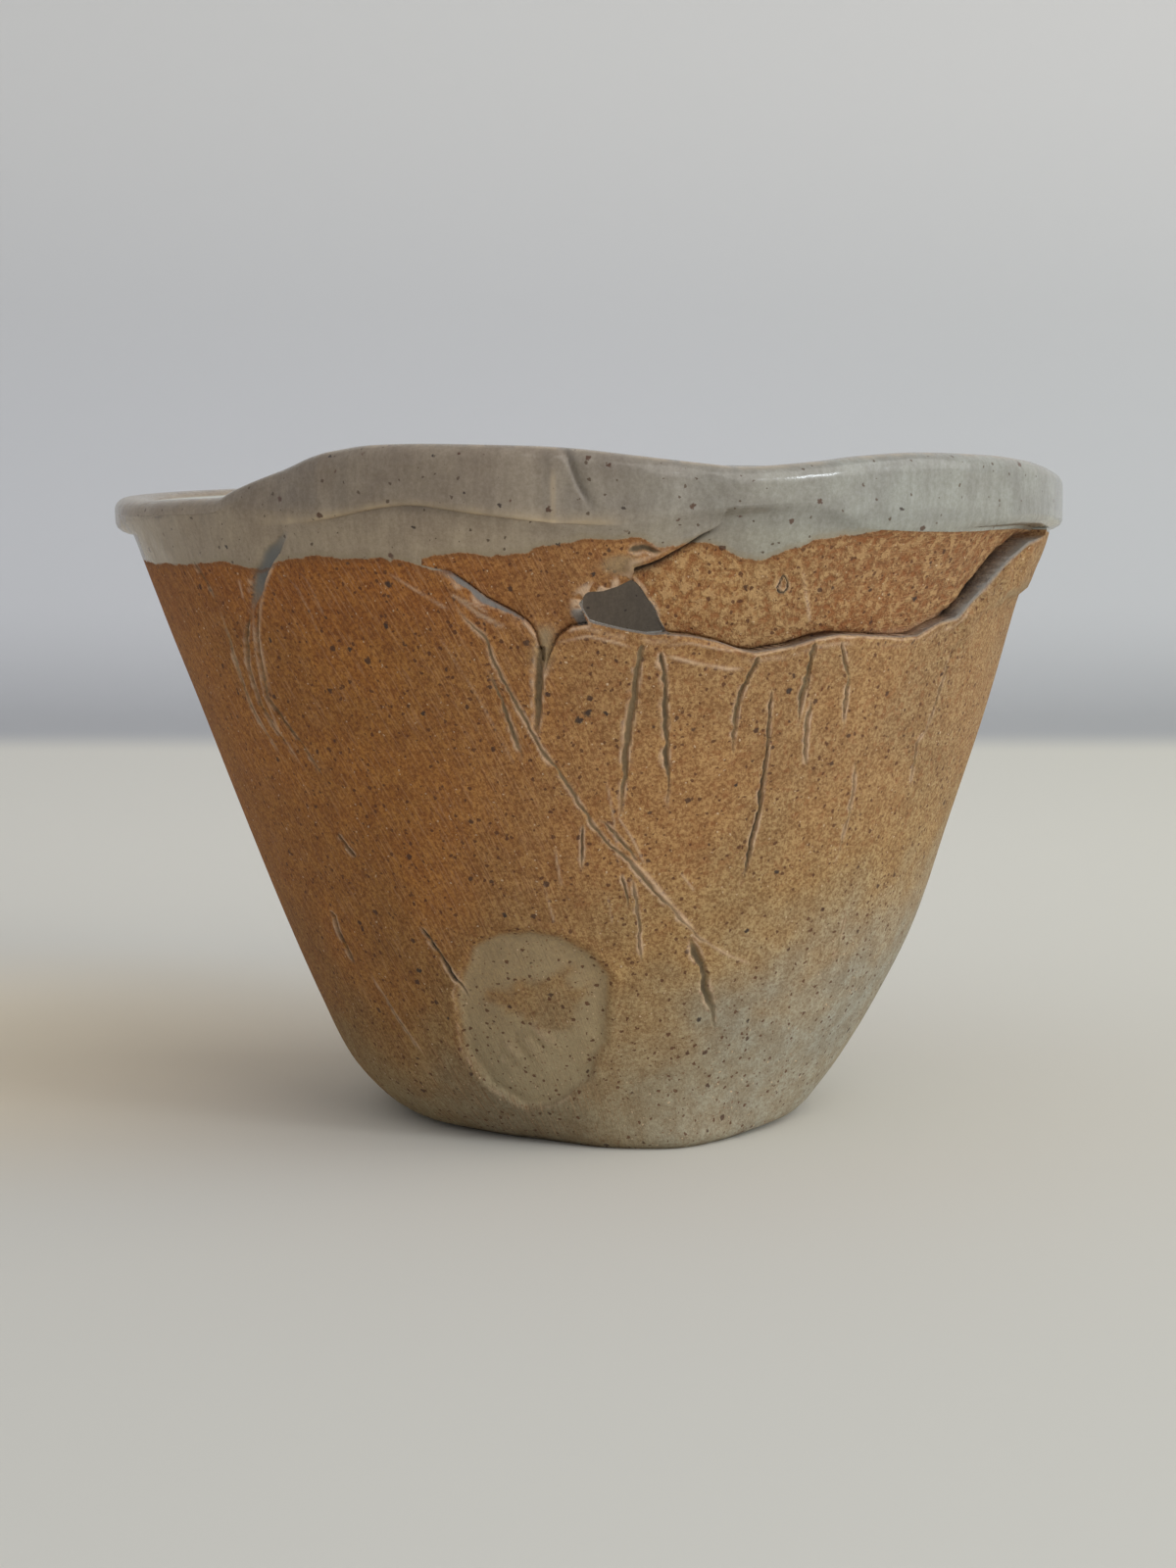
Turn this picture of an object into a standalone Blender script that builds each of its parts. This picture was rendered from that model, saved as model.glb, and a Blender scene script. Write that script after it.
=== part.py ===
"""A cracked stoneware cup, pressed by hand and without a handle.

The cup is one piece of fired clay. Its wall is out of round and its rim is a wavy,
rolled collar. Near the front the wall tore while the clay was soft: three flaps of it
lie over each other like shingles, with a hole where they part, and drying cracks run
down from the torn edges.

Units are metres, +Z is up, and the cup stands on z = 0 around the Z axis.
A place on the wall is an azimuth in degrees, 0 at the front (-Y) and positive to the
right (+X), and a level, the share of WALL_HEIGHT at which it lies.
"""

import math

import bmesh
import bpy
import numpy as np

# Driving sizes of the plain cup
WALL_HEIGHT = 0.0540
MOUTH_HALF_LEFT = 0.0406
MOUTH_HALF_RIGHT = 0.0401
MOUTH_HALF_FRONT = 0.0400
MOUTH_HALF_BACK = 0.0397
FOOT_HALF_LEFT = 0.0145
FOOT_HALF_RIGHT = 0.0165
FOOT_HALF_FRONT = 0.0195
FOOT_HALF_BACK = 0.0160
FOOT_PRESS = 0.0032
FOOT_PRESS_HEIGHT = 0.0070
WALL_THICKNESS = 0.0034
FLOOR_THICKNESS = 0.0046
FLOOR_CORNER = 0.0050

# The rolled collar round the rim
RIM_LOW = 0.0543
RIM_RISE = 0.0052
LIP_THICKNESS = 0.0036
LIP_ROUND = 0.0013
COLLAR_STAND = 0.0024
COLLAR_EDGE_ROUND = 0.0010
DENT_DEPTH = 0.0006
DENT_REACH = 4.0

# The torn flaps, the hole and the cracks
PANEL_SETBACK = 0.0017
PANEL_RUN_OUT = 8.0
BAND_SETBACK = 0.0009
BAND_RUN_IN = 13.0
LIP_FLARE = 0.0012
LIP_FLARE_REACH = 0.0036
TEAR_GAP = 0.0006
TEAR_GAP_DEPTH = 0.0026
OPEN_GAP = 0.0011
CRACK_WIDTH = 0.0006
CRACK_DEPTH = 0.0007
WEDGE_WIDTH = 0.0010
WEDGE_DEPTH = 0.0010
CREASE_WIDTH = 0.0008
CREASE_DEPTH = 0.00028

# The oval that a stamp pressed into the wall near the foot
STAMP_HALF_WIDTH = 0.0069
STAMP_HALF_HEIGHT = 0.0085
STAMP_DEPTH = 0.0006
STAMP_EDGE = 0.0007
STAMP_AZIMUTH = -10.8
STAMP_LEVEL = 0.217
STAMP_LEAN = 8.0

# Fineness of the mesh
TURN_STEPS = 112
ROUTE_STEP = 0.0024
STAMP_STEPS = 40
SECTION_LEVELS = (0.94, 0.89, 0.84, 0.78, 0.70, 0.60, 0.50, 0.40, 0.30, 0.21, 0.13, 0.09, 0.055, 0.030, 0.011)
SHARP_ANGLE = math.radians(38.0)

# How the wall swells from foot to mouth, side by side, at these levels
SWELL_LEVELS = (0.0, 0.013, 0.041, 0.093, 0.185, 0.315, 0.481, 0.667, 0.852, 1.0)
SWELL_LEFT = (0.0, 0.096, 0.177, 0.269, 0.362, 0.477, 0.612, 0.758, 0.904, 1.0)
SWELL_RIGHT = (0.0, 0.089, 0.165, 0.270, 0.397, 0.540, 0.662, 0.797, 0.911, 1.0)
SWELL_FRONT = (0.0, 0.063, 0.112, 0.185, 0.293, 0.434, 0.595, 0.761, 0.907, 1.0)
SWELL_BACK = (0.0, 0.083, 0.158, 0.246, 0.346, 0.475, 0.617, 0.775, 0.925, 1.0)

# The wavy rim: azimuth and share of RIM_RISE above RIM_LOW
RIM_WAVE = (
    (-180, 0.30), (-150, 0.12), (-120, 0.0), (-90, 0.0), (-72, 0.0), (-59, 0.07),
    (-49, 0.14), (-46, 0.28), (-39, 0.58), (-32, 0.85), (-25, 0.98), (-19, 1.0),
    (-8, 0.98), (-2, 0.94), (5, 0.84), (13, 0.72), (18, 0.66), (27, 0.72), (34, 0.80),
    (42, 0.84), (54, 0.79), (64, 0.69), (77, 0.48), (92, 0.32), (125, 0.28), (155, 0.36),
    (180, 0.30),
)

# The lower edge of the collar: azimuth and level
COLLAR_EDGE = (
    (-180, 0.962), (-130, 0.944), (-88, 0.943), (-70, 0.955), (-56, 0.972), (-42, 0.976),
    (-33, 0.986), (-20, 1.012), (-13, 1.001), (-3, 0.988), (4, 0.985), (13, 1.010),
    (25, 1.016), (35, 0.980), (47, 0.972), (66, 0.968), (80, 0.955), (92, 0.944),
    (140, 0.955), (180, 0.962),
)

# How far the collar stands proud of the wall: azimuth and share of COLLAR_STAND
COLLAR_PROUD = (
    (-180, 0.50), (-125, 0.60), (-90, 0.88), (-76, 0.66), (-60, 0.32), (-45, 0.22),
    (-30, 0.26), (-15, 0.34), (0, 0.30), (14, 0.36), (28, 0.22), (42, 0.36), (60, 0.66),
    (76, 0.90), (90, 1.0), (125, 0.70), (180, 0.50),
)

# Where the foot was pushed outwards or inwards: azimuth and share of FOOT_PRESS
FOOT_PUSH = (
    (-180, 0.0), (-75, 0.0), (-48, -0.16), (-30, -0.48), (-16, -0.48), (-6, -0.20), (2, 0.28),
    (12, 0.74), (21, 1.0), (30, 0.82), (45, 0.53), (70, 0.38), (100, 0.18), (140, 0.0), (180, 0.0),
)

# How far the right flap's torn lip curls outwards: azimuth and share of LIP_FLARE
LIP_CURL = (
    (-180, 0.0), (46, 0.0), (58, 0.40), (70, 1.0), (80, 1.0), (90, 0.50), (104, 0.0), (180, 0.0),
)

# Thumb dents in the collar
DENTS = (-38.0, -4.0, 12.0)

# Torn edges, left to right: azimuth and level
LEFT_TEAR = (
    (-20.0, 0.926), (-16.2, 0.915), (-13.8, 0.895), (-12.1, 0.878), (-9.0, 0.857),
    (-7.2, 0.843), (-6.3, 0.828), (-5.8, 0.805), (-6.0, 0.769), (-6.4, 0.683),
)
LEFT_LIP = ((-5.4, 0.770), (-4.5, 0.796), (-3.5, 0.822), (-2.0, 0.837), (0.0, 0.841))
HOLE_FLOOR = ((-0.4, 0.833), (2.8, 0.834), (4.9, 0.830), (7.6, 0.825), (9.9, 0.820))
HOLE_RIGHT = ((8.9, 0.845), (8.2, 0.863), (7.4, 0.876), (6.5, 0.893))
HOLE_TOP = ((5.3, 0.905), (3.5, 0.896), (1.6, 0.889), (0.3, 0.890), (-0.4, 0.886), (-1.0, 0.870))
BAND_EDGE = ((5.5, 0.924), (7.0, 0.930), (9.7, 0.946), (12.0, 0.964), (14.8, 0.984))
HOLE_MIDDLE = ((1.5, 0.860), (4.0, 0.872), (5.0, 0.890))
HOLE_CORNER = ((5.6, 0.862), (7.4, 0.846))
RIGHT_TEAR = (
    (9.0, 0.829), (10.2, 0.823), (12.7, 0.822), (16.1, 0.813), (19.2, 0.800), (21.0, 0.796),
    (23.2, 0.800), (29.5, 0.815), (37.0, 0.815), (46.1, 0.810), (49.7, 0.826),
)
OPEN_TEAR = ((49.7, 0.826), (54.0, 0.840), (57.5, 0.866), (61.0, 0.894), (66.5, 0.922), (76.0, 0.940))

# Drying cracks from the torn edges and elsewhere: azimuth and level
CRACKS = (
    ((6.3, 0.810), (5.8, 0.743), (5.2, 0.678), (5.0, 0.596), (5.1, 0.537)),
    ((8.9, 0.796), (9.5, 0.757), (10.1, 0.678), (11.6, 0.556)),
    ((21.5, 0.787), (20.3, 0.763), (19.3, 0.722), (19.4, 0.611)),
    ((23.7, 0.754), (24.2, 0.680), (24.8, 0.541), (23.8, 0.426)),
    ((29.1, 0.806), (28.3, 0.769), (29.2, 0.700), (31.2, 0.602)),
    ((32.7, 0.807), (35.4, 0.748), (36.2, 0.657)),
    ((38.9, 0.639), (40.6, 0.560), (40.8, 0.444)),
    ((46.0, 0.389), (46.4, 0.331), (46.8, 0.285)),
    ((54.6, 0.781), (53.9, 0.700), (52.0, 0.639), (53.9, 0.556)),
    ((-40.8, 0.500), (-38.8, 0.474)),
    ((-50.2, 0.361), (-47.9, 0.341), (-46.9, 0.285)),
    ((-27.9, 0.359), (-25.5, 0.326), (-22.6, 0.270)),
    ((17.0, 0.352), (19.3, 0.304), (22.9, 0.230), (24.2, 0.200)),
)
LONG_CRACK = (
    (-16.7, 0.885), (-14.9, 0.852), (-12.4, 0.822), (-10.8, 0.763), (-8.0, 0.700),
    (-3.8, 0.615), (0.3, 0.543), (5.9, 0.481), (11.8, 0.413), (17.7, 0.356), (26.3, 0.309),
)
WEDGE = (
    (-36.6, 0.970), (-41.0, 0.935), (-44.1, 0.896), (-47.1, 0.857), (-49.2, 0.815),
    (-50.6, 0.748), (-49.8, 0.676), (-46.5, 0.641),
)
CREASES = (
    ((-44.9, 0.833), (-47.2, 0.759), (-48.1, 0.713), (-43.3, 0.641), (-41.7, 0.611)),
    ((-52.9, 0.774), (-53.1, 0.722), (-51.0, 0.652), (-47.4, 0.600)),
)

# The lapped edges, and the azimuths at which a flap's step and its open tear share points
LEFT_TEAR_TOP = LEFT_TEAR[:8]
PANEL_EDGE = HOLE_CORNER + RIGHT_TEAR + OPEN_TEAR[1:]
LEFT_TEAR_AZIMUTHS = list(np.linspace(LEFT_TEAR[0][0], LEFT_TEAR_TOP[-1][0], 11))
RIGHT_TEAR_AZIMUTHS = list(np.linspace(RIGHT_TEAR[0][0], RIGHT_TEAR[-1][0], 17))
OPEN_TEAR_AZIMUTHS = list(np.linspace(OPEN_TEAR[0][0], OPEN_TEAR[-1][0], 11))

CLEAR = 0.0030
SKIN_CLEAR = 0.0004


def fair_value(x, xs, ys):
    """Height at x of a smooth curve through the points, without overshoot."""
    xs = np.asarray(xs, float)
    ys = np.asarray(ys, float)
    x = min(max(x, xs[0]), xs[-1])
    slopes = np.diff(ys) / np.diff(xs)
    tangents = np.concatenate(([slopes[0]], np.zeros(len(slopes) - 1), [slopes[-1]]))
    for i in range(1, len(slopes)):
        before, after = slopes[i - 1], slopes[i]
        if before * after > 0.0:
            tangents[i] = 2.0 * before * after / (before + after)
    i = min(int(np.searchsorted(xs, x, side="right")) - 1, len(slopes) - 1)
    span = xs[i + 1] - xs[i]
    t = (x - xs[i]) / span
    return float(
        (1 + 2 * t) * (1 - t) ** 2 * ys[i]
        + t * (1 - t) ** 2 * span * tangents[i]
        + t * t * (3 - 2 * t) * ys[i + 1]
        + t * t * (t - 1) * span * tangents[i + 1]
    )


def along(azimuth, places):
    """Value at an azimuth of a fair curve through (azimuth, value) places."""
    turned = (azimuth + 180.0) % 360.0 - 180.0
    return fair_value(turned, [place[0] for place in places], [place[1] for place in places])


def four_sided(azimuth, left, right, front, back):
    """Blend of the four sides' values round the cup."""
    sine = math.sin(math.radians(azimuth))
    cosine = math.cos(math.radians(azimuth))
    side = left if sine < 0.0 else right
    face = front if cosine > 0.0 else back
    return side * sine**2 + face * cosine**2


def cone_radius(azimuth, height):
    """Radius of the plain wall, without its collar."""
    level = height / WALL_HEIGHT

    def side_radius(foot, mouth, swell):
        return foot + (mouth - foot) * fair_value(level, SWELL_LEVELS, swell)

    pressed = FOOT_PRESS * along(azimuth, FOOT_PUSH) * max(1.0 - height / FOOT_PRESS_HEIGHT, 0.0) ** 2
    return pressed + four_sided(
        azimuth,
        side_radius(FOOT_HALF_LEFT, MOUTH_HALF_LEFT, SWELL_LEFT),
        side_radius(FOOT_HALF_RIGHT, MOUTH_HALF_RIGHT, SWELL_RIGHT),
        side_radius(FOOT_HALF_FRONT, MOUTH_HALF_FRONT, SWELL_FRONT),
        side_radius(FOOT_HALF_BACK, MOUTH_HALF_BACK, SWELL_BACK),
    )


def rim_height(azimuth):
    return RIM_LOW + RIM_RISE * along(azimuth, RIM_WAVE)


def collar_edge(azimuth):
    return WALL_HEIGHT * along(azimuth, COLLAR_EDGE)


def collar_radius(azimuth):
    """Radius of the collar's face, which stands upright on the flaring wall."""
    stand = COLLAR_STAND * along(azimuth, COLLAR_PROUD)
    for dent in DENTS:
        stand -= DENT_DEPTH * math.exp(-(((azimuth - dent) / DENT_REACH) ** 2))
    return cone_radius(azimuth, collar_edge(azimuth)) + stand


def lip_flare(azimuth, height):
    """How far the right flap's torn lip curls outward near the right side."""
    below = WALL_HEIGHT * along(azimuth, OPEN_TEAR) - height
    return LIP_FLARE * along(azimuth, LIP_CURL) * math.exp(-((below / LIP_FLARE_REACH) ** 2))


def on_wall(azimuth, height, depth=0.0):
    """Point at a depth under the wall's outer skin."""
    radius = cone_radius(azimuth, height) + lip_flare(azimuth, height) - depth
    angle = math.radians(azimuth)
    return (radius * math.sin(angle), -radius * math.cos(angle), height)


def linked(name, mesh, collection):
    obj = bpy.data.objects.new(name, mesh)
    collection.objects.link(obj)
    return obj


def cup_profile():
    """Section through the front: from the inner floor over the lip to the foot."""
    edge = collar_edge(0.0)
    rim = rim_height(0.0)
    collar = collar_radius(0.0)
    inner_corner = FLOOR_THICKNESS + FLOOR_CORNER

    def inner(height):
        blend = min(max((height - 0.8 * edge) / (rim - 0.8 * edge), 0.0), 1.0)
        plain = cone_radius(0.0, height) - WALL_THICKNESS
        return plain * (1.0 - blend) + (collar - LIP_THICKNESS) * blend

    points = [(0.0, FLOOR_THICKNESS)]
    floor_radius = inner(inner_corner) - FLOOR_CORNER
    points.append((0.55 * floor_radius, FLOOR_THICKNESS))
    for turn in np.linspace(0.0, 0.5 * math.pi, 4):
        points.append(
            (
                floor_radius + FLOOR_CORNER * math.sin(turn),
                inner_corner - FLOOR_CORNER * math.cos(turn),
            )
        )
    for height in np.linspace(inner_corner, rim - LIP_ROUND, 8)[1:]:
        points.append((inner(height), height))
    for turn in np.linspace(0.5 * math.pi, 0.0, 4)[1:]:
        points.append(
            (
                collar - LIP_THICKNESS + LIP_ROUND * (1.0 - math.sin(turn)),
                rim - LIP_ROUND * (1.0 - math.cos(turn)),
            )
        )
    for turn in np.linspace(0.0, 0.5 * math.pi, 4):
        points.append(
            (
                collar - LIP_ROUND * (1.0 - math.sin(turn)),
                rim - LIP_ROUND * (1.0 - math.cos(turn)),
            )
        )
    points.append((collar, edge + COLLAR_EDGE_ROUND))
    points.append((collar - 0.4 * COLLAR_EDGE_ROUND, edge + 0.3 * COLLAR_EDGE_ROUND))
    points.append((cone_radius(0.0, edge), edge))
    for level in SECTION_LEVELS:
        points.append((cone_radius(0.0, level * WALL_HEIGHT), level * WALL_HEIGHT))
    points.append((FOOT_HALF_FRONT, 0.0))
    points.append((0.5 * FOOT_HALF_FRONT, 0.0))
    points.append((0.0, 0.0))
    return points


def turned_cup(collection):
    """The profile turned about Z with a Screw modifier, as a closed mesh."""
    mesh = bpy.data.meshes.new("cup_profile")
    profile = cup_profile()
    edges = [(i, i + 1) for i in range(len(profile) - 1)]
    mesh.from_pydata([(radius, 0.0, height) for radius, height in profile], edges, [])
    cup = linked("cracked_cup", mesh, collection)
    screw = cup.modifiers.new("turn", "SCREW")
    screw.steps = TURN_STEPS
    screw.render_steps = TURN_STEPS
    screw.use_merge_vertices = True
    screw.merge_threshold = 0.00001
    depsgraph = bpy.context.evaluated_depsgraph_get()
    cup.data = bpy.data.meshes.new_from_object(cup.evaluated_get(depsgraph))
    cup.modifiers.clear()
    bpy.data.meshes.remove(mesh)
    return cup


def press_out_of_round(cup):
    """Move the turned form to the hand-pressed one: waves, collar and four sides."""
    front_edge = collar_edge(0.0)
    front_rim = rim_height(0.0)
    still = 0.5 * front_edge
    for vertex in cup.data.vertices:
        x, y, height = vertex.co
        radius = math.hypot(x, y)
        azimuth = math.degrees(math.atan2(x, -y))
        edge = collar_edge(azimuth)
        if height <= still:
            raised = height
        elif height <= front_edge:
            raised = still + (height - still) * (edge - still) / (front_edge - still)
        else:
            share = (height - front_edge) / (front_rim - front_edge)
            raised = edge + share * (rim_height(azimuth) - edge)
        in_collar = height > front_edge + 0.1 * COLLAR_EDGE_ROUND
        if in_collar:
            pressed = radius + collar_radius(azimuth) - collar_radius(0.0)
        else:
            pressed = radius * cone_radius(azimuth, raised) / cone_radius(0.0, height)
            outside = radius > 0.97 * cone_radius(0.0, height)
            pressed += lip_flare(azimuth, raised) if outside else 0.0
        scale = pressed / radius if radius > 0.0 else 0.0
        vertex.co = (x * scale, y * scale, raised)


def loft(name, rings, collection):
    """Closed solid through like-numbered rings of points."""
    shape = bmesh.new()
    rows = [[shape.verts.new(point) for point in ring] for ring in rings]
    count = len(rings[0])
    for row, following in zip(rows, rows[1:]):
        for i in range(count):
            j = (i + 1) % count
            shape.faces.new((row[i], row[j], following[j], following[i]))
    shape.faces.new(rows[0])
    shape.faces.new(rows[-1][::-1])
    bmesh.ops.triangulate(shape, faces=shape.faces)
    bmesh.ops.recalc_face_normals(shape, faces=shape.faces)
    if shape.calc_volume(signed=True) < 0.0:
        bmesh.ops.reverse_faces(shape, faces=shape.faces)
    mesh = bpy.data.meshes.new(name)
    shape.to_mesh(mesh)
    shape.free()
    return linked(name, mesh, collection)


def evenly_along(route):
    """Places a step apart along a route, as azimuth and height."""
    reference = cone_radius(route[0][0], route[0][1] * WALL_HEIGHT)
    flat = [(math.radians(azimuth) * reference, level * WALL_HEIGHT) for azimuth, level in route]
    run = [0.0]
    for start, end in zip(flat, flat[1:]):
        run.append(run[-1] + math.dist(start, end))
    places = []
    for distance in np.linspace(0.0, run[-1], max(3, round(run[-1] / ROUTE_STEP) + 1)):
        x = fair_value(distance, run, [point[0] for point in flat])
        height = fair_value(distance, run, [point[1] for point in flat])
        places.append((math.degrees(x / reference), height))
    return places


def at_azimuths(azimuths, line):
    """Places of a curve of levels at these azimuths, as azimuth and height."""
    return [(azimuth, WALL_HEIGHT * along(azimuth, line)) for azimuth in azimuths]


def groove(name, places, width, depth, collection, blunt_start=False, blunt_end=False):
    """V-shaped cutter along a row of places, tapering to nothing at its free ends."""
    rings = []
    for i, (azimuth, height) in enumerate(places):
        reference = cone_radius(azimuth, height)
        before = places[max(i - 1, 0)]
        after = places[min(i + 1, len(places) - 1)]
        along_x = math.radians(after[0] - before[0]) * reference
        along_z = after[1] - before[1]
        length = math.hypot(along_x, along_z)
        share = i / (len(places) - 1)
        rise = 1.0 if blunt_start else min(1.0, share / 0.35)
        fall = 1.0 if blunt_end else min(1.0, (1.0 - share) / 0.45)
        size = 0.12 + 0.88 * min(rise, fall)
        flank = 0.5 * width * size * (depth * size + SKIN_CLEAR) / (depth * size)
        ring = []
        for side in (-1.0, 0.0, 1.0):
            turned = azimuth - math.degrees(side * flank * along_z / length / reference)
            raised = height + side * flank * along_x / length
            sunk = depth * size if side == 0.0 else -SKIN_CLEAR
            ring.append(on_wall(turned, raised, sunk))
        rings.append(ring)
    return loft(name, rings, collection)


def setback(name, azimuths, lower, upper, depth_lower, depth_upper, collection):
    """Slab cutter that sets the wall back between two curves, deepest at the lower one."""
    rings = []
    for azimuth in azimuths:
        low = lower(azimuth)
        high = upper(azimuth)
        rings.append(
            (
                on_wall(azimuth, low, depth_lower(azimuth)),
                on_wall(azimuth, high, depth_upper(azimuth)),
                on_wall(azimuth, high, -CLEAR),
                on_wall(azimuth, low, -CLEAR),
            )
        )
    return loft(name, rings, collection)


def panel_cutter(collection):
    """Sets back the right panel, behind the right flap's lip and the band above."""
    azimuths = [HOLE_CORNER[0][0], 7.4] + RIGHT_TEAR_AZIMUTHS + OPEN_TEAR_AZIMUTHS[1:]
    under_band = BAND_EDGE[-1][0]

    def lower(azimuth):
        return WALL_HEIGHT * along(azimuth, PANEL_EDGE)

    def upper(azimuth):
        covered = WALL_HEIGHT * along(azimuth, BAND_EDGE) if azimuth < under_band else math.inf
        return max(min(collar_edge(azimuth) - SKIN_CLEAR, covered), lower(azimuth) + SKIN_CLEAR)

    def depth_upper(azimuth):
        share = min(max((azimuth - under_band) / PANEL_RUN_OUT, 0.0), 1.0)
        return PANEL_SETBACK * (0.75 - 0.60 * share)

    return setback("panel_setback", azimuths, lower, upper, lambda _: PANEL_SETBACK, depth_upper, collection)


def band_cutter(collection):
    """Sets back the upper left band, behind the left wall's torn edge."""
    line = LEFT_TEAR_TOP + LEFT_LIP + HOLE_MIDDLE + BAND_EDGE
    lowered = 0.3 * SKIN_CLEAR
    azimuths = LEFT_TEAR_AZIMUTHS[1:] + [-4.5, -3.5, -2.0, 0.0]
    azimuths += list(np.linspace(2.0, BAND_EDGE[-1][0] - 0.5, 9))

    def lower(azimuth):
        return WALL_HEIGHT * along(azimuth, line) - lowered

    def upper(azimuth):
        return max(collar_edge(azimuth) - SKIN_CLEAR, lower(azimuth) + SKIN_CLEAR)

    def depth_lower(azimuth):
        return BAND_SETBACK * min((azimuth - LEFT_TEAR[0][0]) / BAND_RUN_IN, 1.0)

    def depth_upper(azimuth):
        return 0.15 * depth_lower(azimuth)

    return setback("band_setback", azimuths, lower, upper, depth_lower, depth_upper, collection)


def hole_cutter(collection):
    """Cuts through the wall where the three flaps part."""
    outline = HOLE_FLOOR + HOLE_RIGHT + HOLE_TOP
    rings = []
    for depth in (-CLEAR, 2.5 * WALL_THICKNESS):
        rings.append([on_wall(azimuth, level * WALL_HEIGHT, depth) for azimuth, level in outline])
    return loft("hole", rings, collection)


def stamp_cutter(collection):
    """Sinks the stamp's oval with a sloping edge."""
    height = STAMP_LEVEL * WALL_HEIGHT
    reference = cone_radius(STAMP_AZIMUTH, height)
    lean = math.radians(STAMP_LEAN)
    steps = (
        (-CLEAR, 0.0),
        (-SKIN_CLEAR, 0.0),
        (STAMP_DEPTH, STAMP_EDGE),
        (STAMP_DEPTH, 0.5 * STAMP_HALF_WIDTH),
    )
    rings = []
    for depth, shrink in steps:
        ring = []
        for turn in np.linspace(0.0, 2.0 * math.pi, STAMP_STEPS, endpoint=False):
            x = (STAMP_HALF_WIDTH - shrink) * math.cos(turn)
            y = (STAMP_HALF_HEIGHT - shrink) * math.sin(turn)
            across = x * math.cos(lean) - y * math.sin(lean)
            up = x * math.sin(lean) + y * math.cos(lean)
            ring.append(on_wall(STAMP_AZIMUTH + math.degrees(across / reference), height + up, depth))
        rings.append(ring)
    return loft("stamp_oval", rings, collection)


def cut(cup, cutter):
    """Subtract a cutter from the cup and keep the cutter hidden."""
    cutter.display_type = "WIRE"
    cutter.hide_render = True
    boolean = cup.modifiers.new(cutter.name, "BOOLEAN")
    boolean.operation = "DIFFERENCE"
    boolean.solver = "EXACT"
    boolean.object = cutter


def clay_material():
    clay = bpy.data.materials.new("flashed_stoneware")
    clay.use_nodes = True
    shader = clay.node_tree.nodes["Principled BSDF"]
    shader.inputs["Base Color"].default_value = (0.25, 0.12, 0.05, 1.0)
    shader.inputs["Roughness"].default_value = 0.8
    shader.inputs["Metallic"].default_value = 0.0
    clay.diffuse_color = (0.25, 0.12, 0.05, 1.0)
    return clay


for leftover in list(bpy.data.objects):
    bpy.data.objects.remove(leftover)

parts = bpy.data.collections.new("cracked_cup")
cutters = bpy.data.collections.new("cutters")
bpy.context.scene.collection.children.link(parts)
bpy.context.scene.collection.children.link(cutters)

cup = turned_cup(parts)
press_out_of_round(cup)
cup.data.materials.append(clay_material())
cut(cup, panel_cutter(cutters))
cut(cup, hole_cutter(cutters))
cut(cup, band_cutter(cutters))
left_tear = at_azimuths(LEFT_TEAR_AZIMUTHS, LEFT_TEAR_TOP)
left_tear += [(azimuth, level * WALL_HEIGHT) for azimuth, level in LEFT_TEAR[8:]]
right_tear = at_azimuths(RIGHT_TEAR_AZIMUTHS, PANEL_EDGE)
open_tear = at_azimuths(OPEN_TEAR_AZIMUTHS, PANEL_EDGE)
cut(cup, groove("left_tear", left_tear, TEAR_GAP, TEAR_GAP_DEPTH, cutters))
cut(cup, groove("right_tear", right_tear, TEAR_GAP, TEAR_GAP_DEPTH, cutters, True, True))
cut(cup, groove("open_tear", open_tear, OPEN_GAP, TEAR_GAP_DEPTH, cutters, True))
cut(cup, groove("long_crack", evenly_along(LONG_CRACK), CRACK_WIDTH, CRACK_DEPTH, cutters))
cut(cup, groove("wedge_crack", evenly_along(WEDGE), WEDGE_WIDTH, WEDGE_DEPTH, cutters))
for number, crack in enumerate(CRACKS, start=1):
    cut(cup, groove(f"crack_{number:02d}", evenly_along(crack), CRACK_WIDTH, CRACK_DEPTH, cutters))
for number, crease in enumerate(CREASES, start=1):
    cut(cup, groove(f"crease_{number:02d}", evenly_along(crease), CREASE_WIDTH, CREASE_DEPTH, cutters))
cut(cup, stamp_cutter(cutters))
cup.data.shade_smooth()
cup.data.set_sharp_from_angle(angle=SHARP_ANGLE)
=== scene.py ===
import math

import bpy
import numpy as np
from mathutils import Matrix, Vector, noise


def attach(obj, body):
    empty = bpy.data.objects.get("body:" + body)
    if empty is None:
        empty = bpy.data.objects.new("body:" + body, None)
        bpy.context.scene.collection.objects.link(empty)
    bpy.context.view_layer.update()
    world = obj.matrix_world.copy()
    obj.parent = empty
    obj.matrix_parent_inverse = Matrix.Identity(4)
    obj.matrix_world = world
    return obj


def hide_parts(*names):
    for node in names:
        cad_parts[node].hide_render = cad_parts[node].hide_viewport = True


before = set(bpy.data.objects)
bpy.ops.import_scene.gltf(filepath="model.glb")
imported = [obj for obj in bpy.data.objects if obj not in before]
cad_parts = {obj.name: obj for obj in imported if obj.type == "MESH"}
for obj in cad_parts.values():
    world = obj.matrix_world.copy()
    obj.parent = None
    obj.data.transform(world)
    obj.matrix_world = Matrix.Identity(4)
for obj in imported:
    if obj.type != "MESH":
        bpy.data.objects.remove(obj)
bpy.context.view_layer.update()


# The body of the cup is one ball of coarse stoneware, pinched and pressed by hand, so each side
# swells in its own way. It starts as a flat sheet whose length is the way round the cup and whose
# width runs from the middle of the inner floor, over the lip and down to the middle of the foot.
WALL_HEIGHT = 0.0540
WALL_THICKNESS = 0.0034
FLOOR_THICKNESS = 0.0046
FLOOR_CORNER = 0.0050
LIP_THICKNESS = 0.0036
LIP_ROUND = 0.0013
RIM_LOW = 0.05427
RIM_RISE = 0.0052
COLLAR_STAND = 0.0024
FOOT_PRESS = 0.0032
FOOT_PRESS_HEIGHT = 0.0070
FLARE_HEIGHT = 0.0060
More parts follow.
